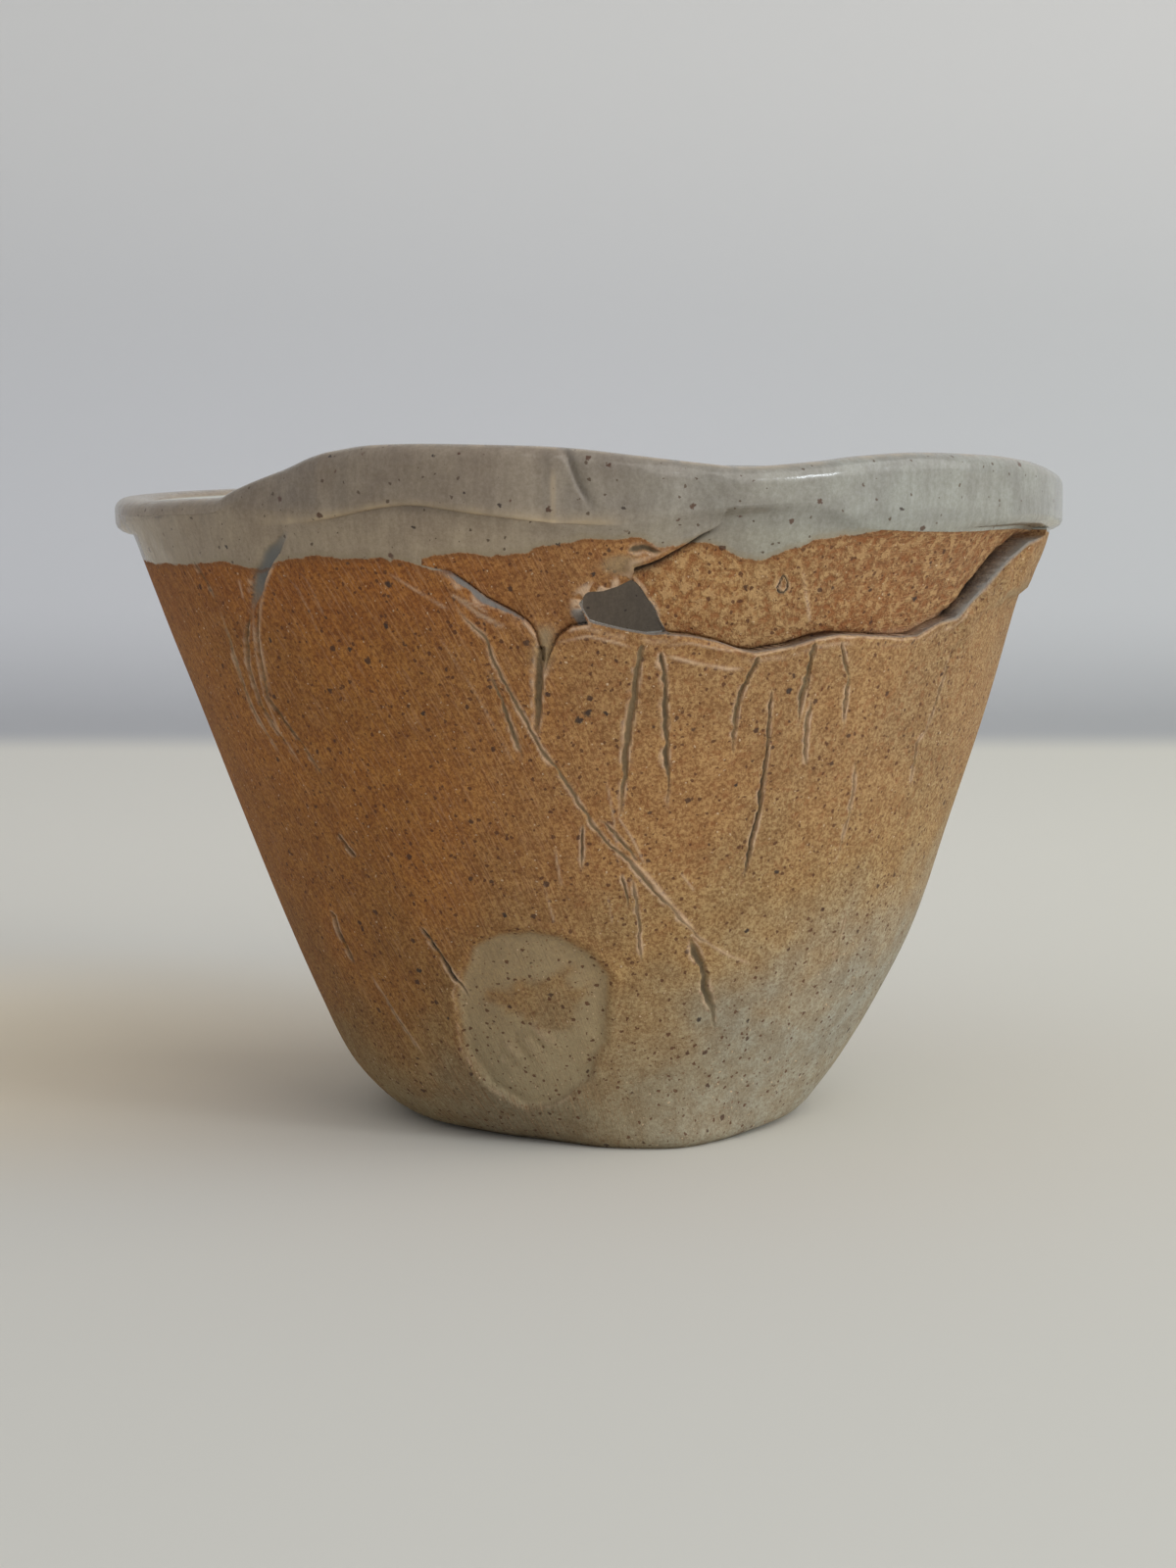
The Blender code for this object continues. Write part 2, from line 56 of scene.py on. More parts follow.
QUARTER = 0.5 * math.pi
LEVELS = (0.0, 0.013, 0.041, 0.093, 0.185, 0.315, 0.481, 0.667, 0.852, 1.0)
SIDES = {
    "left": (0.0145, 0.0406, (0.0, 0.096, 0.177, 0.269, 0.362, 0.477, 0.612, 0.758, 0.904, 1.0)),
    "right": (0.0165, 0.0401, (0.0, 0.089, 0.165, 0.270, 0.397, 0.540, 0.662, 0.797, 0.911, 1.0)),
    "front": (0.0195, 0.0400, (0.0, 0.063, 0.112, 0.185, 0.293, 0.434, 0.595, 0.761, 0.907, 1.0)),
    "back": (0.0160, 0.0397, (0.0, 0.083, 0.158, 0.246, 0.346, 0.475, 0.617, 0.775, 0.925, 1.0)),
}
# By azimuth in degrees, where 0 is the front and + turns to the right: the rim's wave, the collar's
# lower edge and how far it stands out, how round that edge is in millimetres, where the collar runs
# softly into the wall, and where the foot was pushed outwards or inwards.
RIM_WAVE = (
    (-180, 0.30), (-150, 0.12), (-120, 0.0), (-90, 0.0), (-72, 0.0), (-59, 0.07), (-49, 0.14),
    (-46, 0.28), (-39, 0.58), (-32, 0.85), (-25, 0.98), (-19, 1.0), (-8, 0.98), (-2, 0.94),
    (5, 0.84), (13, 0.72), (18, 0.66), (27, 0.72), (34, 0.80), (42, 0.84), (54, 0.79), (64, 0.69),
    (77, 0.48), (92, 0.32), (125, 0.28), (155, 0.36), (180, 0.30),
)
COLLAR_EDGE = (
    (-180, 0.962), (-130, 0.944), (-88, 0.943), (-70, 0.955), (-56, 0.972), (-42, 0.976),
    (-33, 0.986), (-20, 1.012), (-13, 1.001), (-3, 0.988), (4, 0.985), (13, 1.010), (25, 1.016),
    (35, 0.980), (47, 0.972), (66, 0.968), (80, 0.955), (92, 0.944), (140, 0.955), (180, 0.962),
)
COLLAR_PROUD = (
    (-180, 0.48), (-125, 0.60), (-90, 0.865), (-76, 0.66), (-60, 0.32), (-45, 0.22), (-30, 0.26),
    (-15, 0.29), (0, 0.26), (14, 0.32), (28, 0.22), (42, 0.36), (60, 0.66), (76, 0.90),
    (90, 0.99), (125, 0.70), (180, 0.48),
)
COLLAR_ROUND = (
    (-180, 1.0), (-45, 1.0), (-36, 0.60), (-29, 0.34), (-4, 0.34), (3, 0.55), (18, 0.45), (24, 0.8),
    (60, 0.8), (90, 0.9), (180, 1.0),
)
COLLAR_SOFT = (
    (-180, 0.0), (-88, 0.0), (-82, 0.35), (-76, 0.80), (-70, 1.0), (-40, 1.0), (-34, 0.5), (-29, 0.0),
    (-3, 0.0), (2, 0.85), (6, 1.0), (46, 1.0), (53, 0.6), (60, 0.0), (180, 0.0),
)
FOOT_PUSH = (
    (-180, 0.0), (-75, 0.0), (-48, -0.16), (-30, -0.48), (-16, -0.48), (-6, -0.20), (2, 0.28),
    (12, 0.74), (21, 1.0), (30, 0.82), (45, 0.53), (70, 0.38), (100, 0.18), (140, 0.0), (180, 0.0),
)
DENTS = (-38.0, -4.0, 12.0)
DENT_DEPTH = 0.0006
DENT_REACH = 4.0
SHEET_RADIUS = 0.0400
CELL = 0.0013
LIP_RUN = 2 * CELL
COLLAR_RUN = LIP_RUN + 3 * CELL
WALL_START = COLLAR_RUN + CELL
WALL_END = WALL_START + 41 * CELL
SOLE_END = WALL_END + 13 * CELL
INNER_END = -LIP_RUN - 36 * CELL
CORNER_END = INNER_END - 6 * CELL
FLOOR_END = CORNER_END - 9 * CELL


def fair_curve(x, places):
    """Smooth curve without overshoot through (x, y) places."""
    xs, ys = np.array(places, float).T
    x = np.clip(x, xs[0], xs[-1])
    slopes = np.diff(ys) / np.diff(xs)
    tangents = np.concatenate(([slopes[0]], np.zeros(len(slopes) - 1), [slopes[-1]]))
    same = slopes[:-1] * slopes[1:] > 0.0
    pairs = np.where(same, slopes[:-1] + slopes[1:], 1.0)
    tangents[1:-1] = np.where(same, 2.0 * slopes[:-1] * slopes[1:] / pairs, 0.0)
    i = np.clip(np.searchsorted(xs, x, side="right") - 1, 0, len(slopes) - 1)
    span = xs[i + 1] - xs[i]
    t = (x - xs[i]) / span
    ends = (1 + 2 * t) * (1 - t) ** 2 * ys[i] + t * t * (3 - 2 * t) * ys[i + 1]
    return ends + span * (t * (1 - t) ** 2 * tangents[i] + t * t * (t - 1) * tangents[i + 1])


def limited(value):
    """A value kept between 0 and 1."""
    return np.clip(value, 0.0, 1.0)


def smooth(low, high, value):
    """Soft step from 0 to 1 between two values."""
    t = limited((value - low) / (high - low))
    return t * t * (3.0 - 2.0 * t)


def bell(value, width):
    return np.exp(-((value / width) ** 2))


def side_radius(side, height):
    foot, mouth, swell = SIDES[side]
    return foot + (mouth - foot) * fair_curve(height / WALL_HEIGHT, list(zip(LEVELS, swell)))


def wall_radius(azimuth, height):
    """Radius of the plain wall, blended from its four sides."""
    sine = np.sin(np.radians(azimuth))
    cosine = np.cos(np.radians(azimuth))
    side = np.where(sine < 0.0, side_radius("left", height), side_radius("right", height))
    face = np.where(cosine > 0.0, side_radius("front", height), side_radius("back", height))
    push = FOOT_PRESS * fair_curve(azimuth, FOOT_PUSH) * limited(1.0 - height / FOOT_PRESS_HEIGHT) ** 2
    return side * sine**2 + face * cosine**2 + push


def rim_height(azimuth):
    return RIM_LOW + RIM_RISE * fair_curve(azimuth, RIM_WAVE)


def collar_edge(azimuth):
    return WALL_HEIGHT * fair_curve(azimuth, COLLAR_EDGE)


def collar_radius(azimuth):
    dented = sum(DENT_DEPTH * bell(azimuth - dent, DENT_REACH) for dent in DENTS)
    proud = COLLAR_STAND * fair_curve(azimuth, COLLAR_PROUD)
    return wall_radius(azimuth, collar_edge(azimuth)) + proud - dented


def section(azimuth, run):
    """Radius and height of the finished form at a place on the sheet."""
    edge = collar_edge(azimuth)
    rim = rim_height(azimuth)
    collar = collar_radius(azimuth)
    turn = limited(np.abs(run) / LIP_RUN) * QUARTER
    lip_out = 0.5 * LIP_THICKNESS * np.sign(run) * np.sin(turn) ** 0.8
    lip_radius = collar - 0.5 * LIP_THICKNESS + lip_out
    lip_height = rim - LIP_ROUND * (1.0 - np.cos(turn) ** 0.8)
    down = (run - LIP_RUN) / (COLLAR_RUN - LIP_RUN)
    edge_round = 0.001 * fair_curve(azimuth, COLLAR_ROUND)
    collar_height = (rim - LIP_ROUND) * (1.0 - down) + (edge + edge_round) * down
    turn = limited((run - COLLAR_RUN) / (WALL_START - COLLAR_RUN)) * QUARTER
    plain = wall_radius(azimuth, edge)
    tuck_radius = plain + (collar - plain) * np.cos(turn)
    tuck_height = edge + edge_round * (1.0 - np.sin(turn))
    wall_height = edge * limited(1.0 - (run - WALL_START) / (WALL_END - WALL_START))
    wall = wall_radius(azimuth, wall_height)
    foot = wall_radius(azimuth, 0.0 * azimuth)
    sole = foot * limited((SOLE_END - run) / (SOLE_END - WALL_END))
    inner_top = rim - LIP_ROUND
    inner_low = FLOOR_THICKNESS + FLOOR_CORNER
    inner_height = inner_top + (inner_low - inner_top) * limited((run + LIP_RUN) / (INNER_END + LIP_RUN))
    blend = limited((inner_height - 0.8 * edge) / (rim - 0.8 * edge))
    inner = (wall_radius(azimuth, inner_height) - WALL_THICKNESS) * (1.0 - blend)
    inner += (collar - LIP_THICKNESS) * blend
    floor_radius = wall_radius(azimuth, inner_low + 0.0 * azimuth) - WALL_THICKNESS - FLOOR_CORNER
    turn = limited((INNER_END - run) / (INNER_END - CORNER_END)) * QUARTER
    corner_radius = floor_radius + FLOOR_CORNER * np.cos(turn)
    corner_height = inner_low - FLOOR_CORNER * np.sin(turn)
    floor = floor_radius * limited((run - FLOOR_END) / (CORNER_END - FLOOR_END))
    floor_height = FLOOR_THICKNESS + 0.0 * run
    zone = [
        run < CORNER_END, run < INNER_END, run < -LIP_RUN, run <= LIP_RUN, run < COLLAR_RUN, run < WALL_START,
        run < WALL_END,
    ]
    radii = [floor, corner_radius, inner, lip_radius, collar, tuck_radius, wall]
    heights = [floor_height, corner_height, inner_height, lip_height, collar_height, tuck_height, wall_height]
    radius = np.select(zone, radii, sole)
    height = np.select(zone, heights, 0.0)
    soft = fair_curve(azimuth, COLLAR_SOFT) * (run > LIP_RUN) * (run < WALL_END)
    rise = limited((height - edge + FLARE_HEIGHT) / (rim - LIP_ROUND - edge + FLARE_HEIGHT))
    flared = wall_radius(azimuth, np.minimum(height, WALL_HEIGHT))
    flared += (collar - wall_radius(azimuth, np.minimum(rim, WALL_HEIGHT) + 0.0 * azimuth)) * rise**1.3
    radius = np.where((soft > 0.0) & (rise > 0.0), radius * (1.0 - soft) + flared * soft, radius)
    return radius, height


def bent(azimuth, run):
    """Points of the sheet bent round to the finished form."""
    radius, height = section(azimuth, run)
    turn = np.radians(azimuth)
    return np.column_stack((radius * np.sin(turn), -radius * np.cos(turn), height))


def wall_point(azimuth, height):
    """Points on the plain wall."""
    radius = wall_radius(azimuth, height)
    turn = np.radians(azimuth)
    return np.column_stack((radius * np.sin(turn), -radius * np.cos(turn), height))


def route(*places):
    """A line on the wall, from places in degrees and millimetres, at steps of about 0.4 mm."""
    azimuth, height = np.array(places, float).T
    height = height * 0.001
    points = wall_point(azimuth, height)
    run = np.concatenate(([0.0], np.cumsum(np.linalg.norm(np.diff(points, axis=0), axis=1))))
    steps = np.linspace(0.0, run[-1], max(3, int(run[-1] / 0.0004) + 1))
    return np.column_stack((np.interp(steps, run, azimuth), np.interp(steps, run, height)))


def beside(points, line):
    """Distance from points to a line on the wall, the share along it, and the side (+ is its left)."""
    corners = wall_point(line[:, 0], line[:, 1])
    best = np.full(len(points), 1.0)
    share = np.zeros(len(points))
    side = np.zeros(len(points))
    low = corners.min(axis=0) - 0.004
    high = corners.max(axis=0) + 0.004
    near = np.flatnonzero(np.all((points > low) & (points < high), axis=1))
    close = points[near]
    outward = close * np.array((1.0, 1.0, 0.0))
    for i in range(len(corners) - 1):
        along = corners[i + 1] - corners[i]
        offset = close - corners[i]
        t = limited(offset @ along / (along @ along))
        distance = np.linalg.norm(offset - t[:, None] * along, axis=1)
        nearer = distance < best[near]
        rows = near[nearer]
        best[rows] = distance[nearer]
        share[rows] = (i + t[nearer]) / (len(corners) - 1)
        turned = np.cross(along, offset[nearer])
        side[rows] = np.sign(np.sum(turned * outward[nearer], axis=1))
    return best, share, side


# The torn edges. While the clay was soft the wall split into three flaps that lie over each other:
# the left wall is outermost, the lower right wall overlaps a panel pushed in behind it, and a
# band under the rim lies between them. Where they part, a small hole goes through the wall.
left_tear = route(
    (-19.5, 50.0), (-18.3, 49.8), (-16.2, 49.5), (-13.8, 48.3), (-12.1, 47.4), (-9.0, 46.3),
    (-7.2, 45.5), (-6.3, 44.7), (-5.8, 43.5),
)
left_lip = route((-5.3, 41.5), (-4.5, 43.0), (-3.5, 44.4), (-2.0, 45.2), (0.0, 45.4))
band_edge = route(
    (5.4, 49.9), (6.9, 50.2), (8.4, 50.6), (9.7, 51.1), (11.1, 51.6), (12.9, 52.4), (14.8, 53.0),
    (15.4, 53.4),
)
hole_outline = route(
    (-1.0, 47.0), (-0.3, 47.9), (0.3, 48.0), (1.6, 48.0), (3.5, 48.4), (5.3, 49.0), (6.5, 48.2), (7.4, 47.3),
    (8.2, 46.6), (8.9, 45.6), (9.8, 44.7), (7.6, 44.6), (4.9, 44.9), (2.8, 45.2), (0.3, 45.6), (-1.0, 47.0),
)
right_tear = route(
    (9.5, 44.6), (12.7, 44.4), (16.1, 43.9), (19.2, 43.2), (21.0, 43.0), (23.2, 43.2), (25.9, 43.4),
    (29.5, 44.0), (32.4, 44.2), (37.0, 44.0), (42.9, 43.7), (46.1, 43.7), (49.7, 44.6), (53.3, 45.0),
    (55.7, 46.3), (59.0, 48.0), (62.6, 49.7), (67.6, 50.9), (75.2, 51.2),
)
TEARS = [left_tear, left_lip, band_edge, hole_outline, right_tear]

# The cracks that opened below the tears as the clay dried. Each has its width and depth in
# millimetres, how much painted shade darkens its floor, the shares of its length over which it opens
# and closes, and the places it runs through, in degrees and millimetres.
CRACKS = {
    "left_split": (
        0.75, 0.55, 0.30, 0.04, 0.50,
        ((-5.8, 43.8), (-5.8, 43.0), (-5.9, 41.5), (-6.3, 39.4), (-6.4, 36.9), (-6.6, 35.6)),
    ),
    "wedge": (
        1.50, 0.45, 0.12, 0.40, 0.40,
        (
            (-36.6, 52.9), (-37.3, 52.5), (-39.0, 51.4), (-41.0, 50.2), (-43.2, 48.4), (-45.2, 46.6),
            (-46.6, 45.2),
        ),
    ),
    "wedge_tail": (
        0.50, 0.35, 0.30, 0.20, 0.60,
        (
            (-45.4, 46.4), (-46.9, 45.2), (-48.6, 43.6), (-50.2, 40.9), (-50.2, 37.6), (-48.0, 35.4),
            (-43.0, 31.5),
        ),
    ),
    "left_crease": (
        0.40, 0.15, 0.0, 0.30, 0.50,
        ((-52.9, 46.0), (-52.9, 41.8), (-53.1, 39.0), (-52.6, 37.2), (-51.0, 35.2), (-47.4, 32.4)),
    ),
    "bead_crease": (
        0.45, 0.30, 0.15, 0.20, 0.30,
        (
            (-43.6, 47.6), (-45.4, 45.0), (-47.2, 41.0), (-48.1, 38.5), (-45.7, 36.4), (-43.3, 34.6),
            (-41.7, 33.0), (-39.5, 30.4),
        ),
    ),
    "glaze_crease": (0.40, 0.25, 0.5, 0.3, 0.3, ((-56.4, 49.9), (-54.6, 48.0), (-53.2, 46.4))),
    "left_nick": (0.46, 0.40, 1.0, 0.15, 0.15, ((-41.0, 27.2), (-39.8, 26.2), (-38.2, 25.2))),
    "low_left": (0.55, 0.45, 1.0, 0.12, 0.20, ((-49.8, 19.9), (-48.4, 19.5), (-48.7, 18.0), (-47.2, 15.2))),
    "faint_left": (0.30, 0.12, 0.0, 0.4, 0.4, ((-43.2, 14.8), (-39.4, 10.8), (-35.6, 7.7))),
    "by_stamp": (0.46, 0.35, 0.9, 0.12, 0.50, ((-28.4, 19.8), (-26.2, 17.8), (-23.8, 15.6), (-21.3, 12.8))),
    "long_crack": (
        0.32, 0.15, 0.15, 0.15, 0.25,
        (
            (-16.7, 47.8), (-14.9, 46.0), (-12.4, 44.4), (-11.8, 43.0), (-10.8, 41.2), (-9.6, 39.6),
            (-8.0, 37.8), (-6.4, 35.7), (-3.8, 33.2), (-2.3, 31.9), (0.3, 29.3), (2.7, 27.4), (5.9, 26.0),
            (8.5, 24.3), (11.8, 22.3), (14.7, 20.7), (17.7, 19.2), (22.0, 17.8), (26.3, 16.7),
        ),
    ),
    "long_branch": (0.34, 0.18, 0.15, 0.3, 0.4, ((1.2, 29.6), (2.8, 28.9), (5.0, 27.4), (8.0, 25.3))),
    "left_line": (
        0.40, 0.20, 0.20, 0.4, 0.4, ((-12.6, 42.4), (-11.6, 40.2), (-10.5, 38.2), (-9.0, 35.2), (-8.6, 33.6)),
    ),
    "tail": (
        0.76, 0.45, 0.50, 0.20, 0.45,
        ((16.3, 19.4), (17.6, 18.2), (19.3, 16.4), (20.6, 14.6), (22.6, 12.6), (23.6, 11.2), (24.2, 9.8)),
    ),
    "drop_1": (
        0.56, 0.34, 0.15, 0.02, 0.40, ((6.3, 43.9), (5.8, 40.1), (5.2, 36.6), (4.7, 32.2), (4.6, 28.4)),
    ),
    "drop_2": (
        0.44, 0.30, 0.45, 0.05, 0.35, ((8.9, 43.4), (9.5, 40.9), (10.1, 36.6), (10.7, 33.0), (11.2, 29.4)),
    ),
    "drop_3": (
        0.48, 0.40, 0.25, 0.05, 0.60, ((21.5, 42.7), (20.3, 41.2), (19.3, 39.0), (19.3, 35.6), (19.5, 33.0)),
    ),
    "drop_4": (
        0.42, 0.34, 0.60, 0.15, 0.22,
        ((23.7, 40.7), (23.9, 38.0), (24.4, 34.5), (24.5, 31.8), (24.8, 29.2), (24.3, 26.8), (23.8, 23.0)),
    ),
    "drop_5": (0.50, 0.36, 0.30, 0.05, 0.55, ((28.9, 43.7), (28.5, 41.5), (28.4, 39.0), (28.5, 36.0))),
    "drop_6": (0.34, 0.22, 0.15, 0.30, 0.40, ((29.8, 39.3), (30.0, 36.2), (31.2, 32.5))),
    "drop_7": (0.38, 0.26, 0.15, 0.10, 0.50, ((32.7, 43.8), (35.0, 40.4), (35.8, 37.2), (36.2, 35.5))),
    "drop_8": (0.30, 0.20, 0.15, 0.30, 0.50, ((38.9, 34.5), (40.5, 31.2), (40.8, 28.9), (40.8, 24.0))),
    "low_right_shade": (0.30, 0.15, 0.1, 0.4, 0.4, ((46.0, 21.0), (46.4, 17.9), (46.8, 15.4))),
    "drop_9": (0.36, 0.28, 0.4, 0.3, 0.4, ((54.6, 42.2), (53.9, 37.8), (53.2, 34.4))),
    "drop_10": (0.30, 0.20, 0.2, 0.3, 0.4, ((54.2, 35.8), (51.8, 34.5), (53.9, 30.0))),
    "curl_line": (0.50, 0.30, 0.6, 0.30, 0.40, ((4.2, 51.1), (5.6, 51.5), (7.0, 51.4), (8.8, 51.0))),
    "chip": (
        0.20, 0.14, 0.9, 0.03, 0.03, ((23.4, 48.0), (24.1, 49.1), (25.1, 48.1), (24.3, 47.6), (23.5, 48.0)),
    ),
    "nick_1": (0.28, 0.22, 0.3, 0.3, 0.5, ((-0.7, 29.3), (-0.7, 27.0), (-0.9, 24.8))),
    "nick_2": (0.28, 0.18, 0.2, 0.3, 0.5, ((5.2, 25.0), (6.2, 21.5))),
    "nick_3": (0.32, 0.18, 0.2, 0.3, 0.3, ((6.6, 24.8), (7.4, 22.0), (8.2, 19.6), (8.9, 16.6))),
}
# Pale creases without much depth: facets below the torn lip, a bead beside the wedge, and marks that
# fingers dragged across the clay. Their pale lines are partly painted highlight. Each has its width
# in millimetres, its strength and its places.
CREASES = (
    (0.10, 0.8, ((9.2, 43.6), (12.0, 43.9), (15.6, 43.4), (18.8, 43.1))),
    (0.15, 1.0, ((9.3, 42.9), (13.5, 42.2), (17.5, 41.7), (20.0, 41.7))),
    (0.12, 0.9, ((-4.2, 43.9), (0.0, 44.5), (3.2, 44.0), (5.6, 43.5))),
    (0.12, 0.9, ((26.4, 49.6), (27.6, 47.6), (29.3, 45.0))),
    (0.12, 0.9, ((-46.9, 48.4), (-47.1, 46.6))),
    (
        0.16, 1.0,
        (
            (-35.4, 52.9), (-37.8, 51.6), (-40.0, 50.0), (-42.3, 48.0), (-44.0, 46.2), (-45.9, 43.6),
            (-46.6, 40.6), (-47.0, 38.0),
        ),
    ),
    (0.13, 0.9, ((-45.2, 46.8), (-47.4, 42.6), (-48.6, 38.8), (-47.6, 35.6), (-44.4, 32.6))),
    (0.12, 0.8, ((-24.0, 49.4), (-20.5, 48.0), (-16.4, 46.4))),
    (0.09, 0.5, ((-18.6, 44.8), (-14.0, 39.6), (-9.4, 33.4))),
    (0.09, 0.6, ((2.4, 33.0), (3.6, 29.4), (4.6, 25.2))),
    (0.12, 0.5, ((9.6, 54.4), (13.2, 54.6), (17.6, 54.2), (20.4, 54.5))),
    (0.22, 1.0, ((5.4, 26.4), (8.7, 24.7), (11.6, 22.8), (14.7, 21.0), (17.9, 19.2))),
    (0.10, 0.9, ((3.9, 29.9), (6.2, 27.9), (8.6, 25.3))),
    (0.12, 0.8, ((17.6, 19.4), (20.4, 18.3), (24.0, 17.3), (28.6, 16.3))),
    (0.11, 0.9, ((6.9, 24.4), (7.9, 20.4), (8.9, 17.2))),
    (0.09, 0.8, ((-4.8, 27.2), (-4.0, 23.6))),
    (0.09, 0.8, ((-6.8, 24.2), (-5.2, 20.4))),
    (0.10, 0.7, ((13.8, 24.8), (16.4, 23.1))),
    (0.08, 0.6, ((3.0, 23.0), (3.8, 20.4))),
    (0.09, 0.8, ((-43.4, 14.8), (-39.4, 11.2), (-35.0, 7.6))),
    (0.08, 0.5, ((-36.8, 49.4), (-35.4, 48.6), (-34.4, 47.2), (-33.6, 45.4))),
    (0.08, 0.5, ((-38.1, 48.6), (-36.8, 47.6), (-35.8, 46.0), (-35.1, 44.0))),
    (0.12, 0.9, ((-16.4, 47.7), (-13.6, 47.0), (-11.6, 46.2))),
)

# The oval that a stamp pressed in near the foot. Its floor is left plain but for soft comb strokes.
stamp_outline = route(
    (-9.3, 20.0), (-14.6, 19.6), (-19.6, 18.3), (-24.6, 13.7), (-25.5, 8.6), (-21.6, 5.5), (-14.1, 3.4),
    (-7.7, 3.8), (0.2, 6.2), (3.7, 10.0), (4.1, 15.9), (0.2, 18.1), (-4.4, 19.5), (-9.3, 20.0),
)

bpy.ops.object.select_all(action="DESELECT")
COLUMNS = 158
ROWS = round((SOLE_END - FLOOR_END) / CELL)
bpy.ops.mesh.primitive_grid_add(x_subdivisions=COLUMNS, y_subdivisions=ROWS, size=1.0)
cup = bpy.context.object
cup.name = "stoneware_cup"
bpy.ops.object.mode_set(mode="EDIT")
bpy.ops.transform.resize(value=(2.0 * math.pi * SHEET_RADIUS, SOLE_END - FLOOR_END, 1.0))
bpy.ops.transform.translate(value=(0.0, 0.5 * (SOLE_END + FLOOR_END), 0.0))
bpy.ops.object.mode_set(mode="OBJECT")


def sheet_places(mesh, of_faces):
    """Azimuth and run of a mesh's vertices, or of its faces' middles, while it is still flat."""
    items = mesh.polygons if of_faces else mesh.vertices
    flat = np.empty(3 * len(items))
    items.foreach_get("center" if of_faces else "co", flat)
    x, y, _ = flat.reshape(-1, 3).T
    return np.degrees(x / SHEET_RADIUS), y


def wall_height_at(azimuth, run):
    """Height on the wall of a place on the sheet, outside and inside."""
    outside = collar_edge(azimuth) * (1.0 - (run - WALL_START) / (WALL_END - WALL_START))
    inner_top = rim_height(azimuth) - LIP_ROUND
    inner_low = FLOOR_THICKNESS + FLOOR_CORNER
    inside = inner_top + (inner_low - inner_top) * (run + LIP_RUN) / (INNER_END + LIP_RUN)
    return np.where(run > 0.0, outside, inside)


def subdivide_where(mesh_object, chosen):
    """Halve the cells of the faces that a mask picks."""
    mesh = mesh_object.data
    mesh.vertices.foreach_set("select", np.zeros(len(mesh.vertices), bool))
    mesh.edges.foreach_set("select", np.zeros(len(mesh.edges), bool))
    mesh.polygons.foreach_set("select", chosen)
    bpy.ops.object.mode_set(mode="EDIT")
    bpy.ops.mesh.select_mode(type="FACE")
    bpy.ops.mesh.subdivide(number_cuts=1)
    bpy.ops.object.mode_set(mode="OBJECT")


def distance_to(points, lines):
    nearest = np.full(len(points), 1.0)
    for line in lines:
        nearest = np.minimum(nearest, beside(points, line)[0])
    return nearest


crack_lines = [route(*crack[-1]) for crack in CRACKS.values()]
crease_lines = [route(*crease[-1]) for crease in CREASES]
for step in range(4):
    azimuth, run = sheet_places(cup.data, True)
    height = wall_height_at(azimuth, run)
    points = wall_point(azimuth, np.clip(height, 0.0, WALL_HEIGHT))
    outside = (run > 0.0) & (run < WALL_END + CELL)
    at_hole = (run < -LIP_RUN) & (run > INNER_END)
    hole_near = distance_to(points, [hole_outline])
    tears_near = np.where(outside, distance_to(points, TEARS), 1.0)
    cracks_near = np.where(outside, distance_to(points, crack_lines), 1.0)
    marks_near = np.where(outside, distance_to(points, crease_lines + [stamp_outline]), 1.0)
    marks_near = np.minimum(marks_near, np.minimum(cracks_near, tears_near))
    if step == 0:
        chosen = (run > -3.0 * CELL) & (run < 7.0 * CELL)
        chosen |= outside & (np.abs(azimuth) < 95.0)
        chosen |= at_hole & (hole_near < 0.0040)
    elif step == 1:
        chosen = (run > -CELL) & (run < 8.0 * CELL) & (np.abs(azimuth) < 90.0)
        chosen |= marks_near < 0.0014
        chosen |= at_hole & (hole_near < 0.0024)
    elif step == 2:
        chosen = (marks_near < 0.00055) | (at_hole & (hole_near < 0.0012))
        chosen |= (run > -CELL) & (run < WALL_START) & (np.abs(azimuth + 2.0) < 3.6)
    else:
        chosen = (tears_near < 0.00034) | (cracks_near < 0.00022)
    subdivide_where(cup, chosen)

azimuth, run = sheet_places(cup.data, False)
height = wall_height_at(azimuth, run)
outside = (run >= WALL_START - 1e-6) & (run <= WALL_END)
inside = (run < -LIP_RUN) & (run > INNER_END)


def inside_outline(azimuth, height, corners):
    """Whether places on the wall lie inside a closed outline."""
    within = np.zeros(len(azimuth), bool)
    for (x0, y0), (x1, y1) in zip(corners, np.roll(corners, -1, axis=0)):
        crosses = (y0 > height) != (y1 > height)
        at = x0 + (height - y0) * (x1 - x0) / (y1 - y0 if y1 != y0 else 1.0)
        within ^= crosses & (azimuth < at)
    return within


def snap_to(line, reach, rows):
    """Draw the vertices close to a torn edge on to it."""
    points = wall_point(azimuth, np.clip(height, 0.0, WALL_HEIGHT))
    distance, share, _ = beside(points, line)
    caught = rows & (distance < reach)
    place = share[caught] * (len(line) - 1)
    azimuth[caught] = np.interp(place, np.arange(len(line)), line[:, 0])
    height[caught] = np.interp(place, np.arange(len(line)), line[:, 1])
    return caught


free = outside.copy()
on_hole = snap_to(hole_outline, 0.00006, free)
free &= ~on_hole
on_right = snap_to(right_tear, 0.000055, free)
free &= ~on_right
on_left = snap_to(left_tear, 0.000055, free)
free &= ~on_left
on_left_lip = snap_to(left_lip, 0.000055, free)
free &= ~on_left_lip
on_band = snap_to(band_edge, 0.000055, free)
snap_to(hole_outline, 0.00012, inside)
edge = collar_edge(azimuth)
inner_top = rim_height(azimuth) - LIP_ROUND
inner_low = FLOOR_THICKNESS + FLOOR_CORNER
run = np.where(outside, WALL_START + (WALL_END - WALL_START) * (1.0 - height / edge), run)
run = np.where(inside, -LIP_RUN + (INNER_END + LIP_RUN) * (height - inner_top) / (inner_low - inner_top), run)
points = wall_point(azimuth, np.clip(height, 0.0, WALL_HEIGHT))

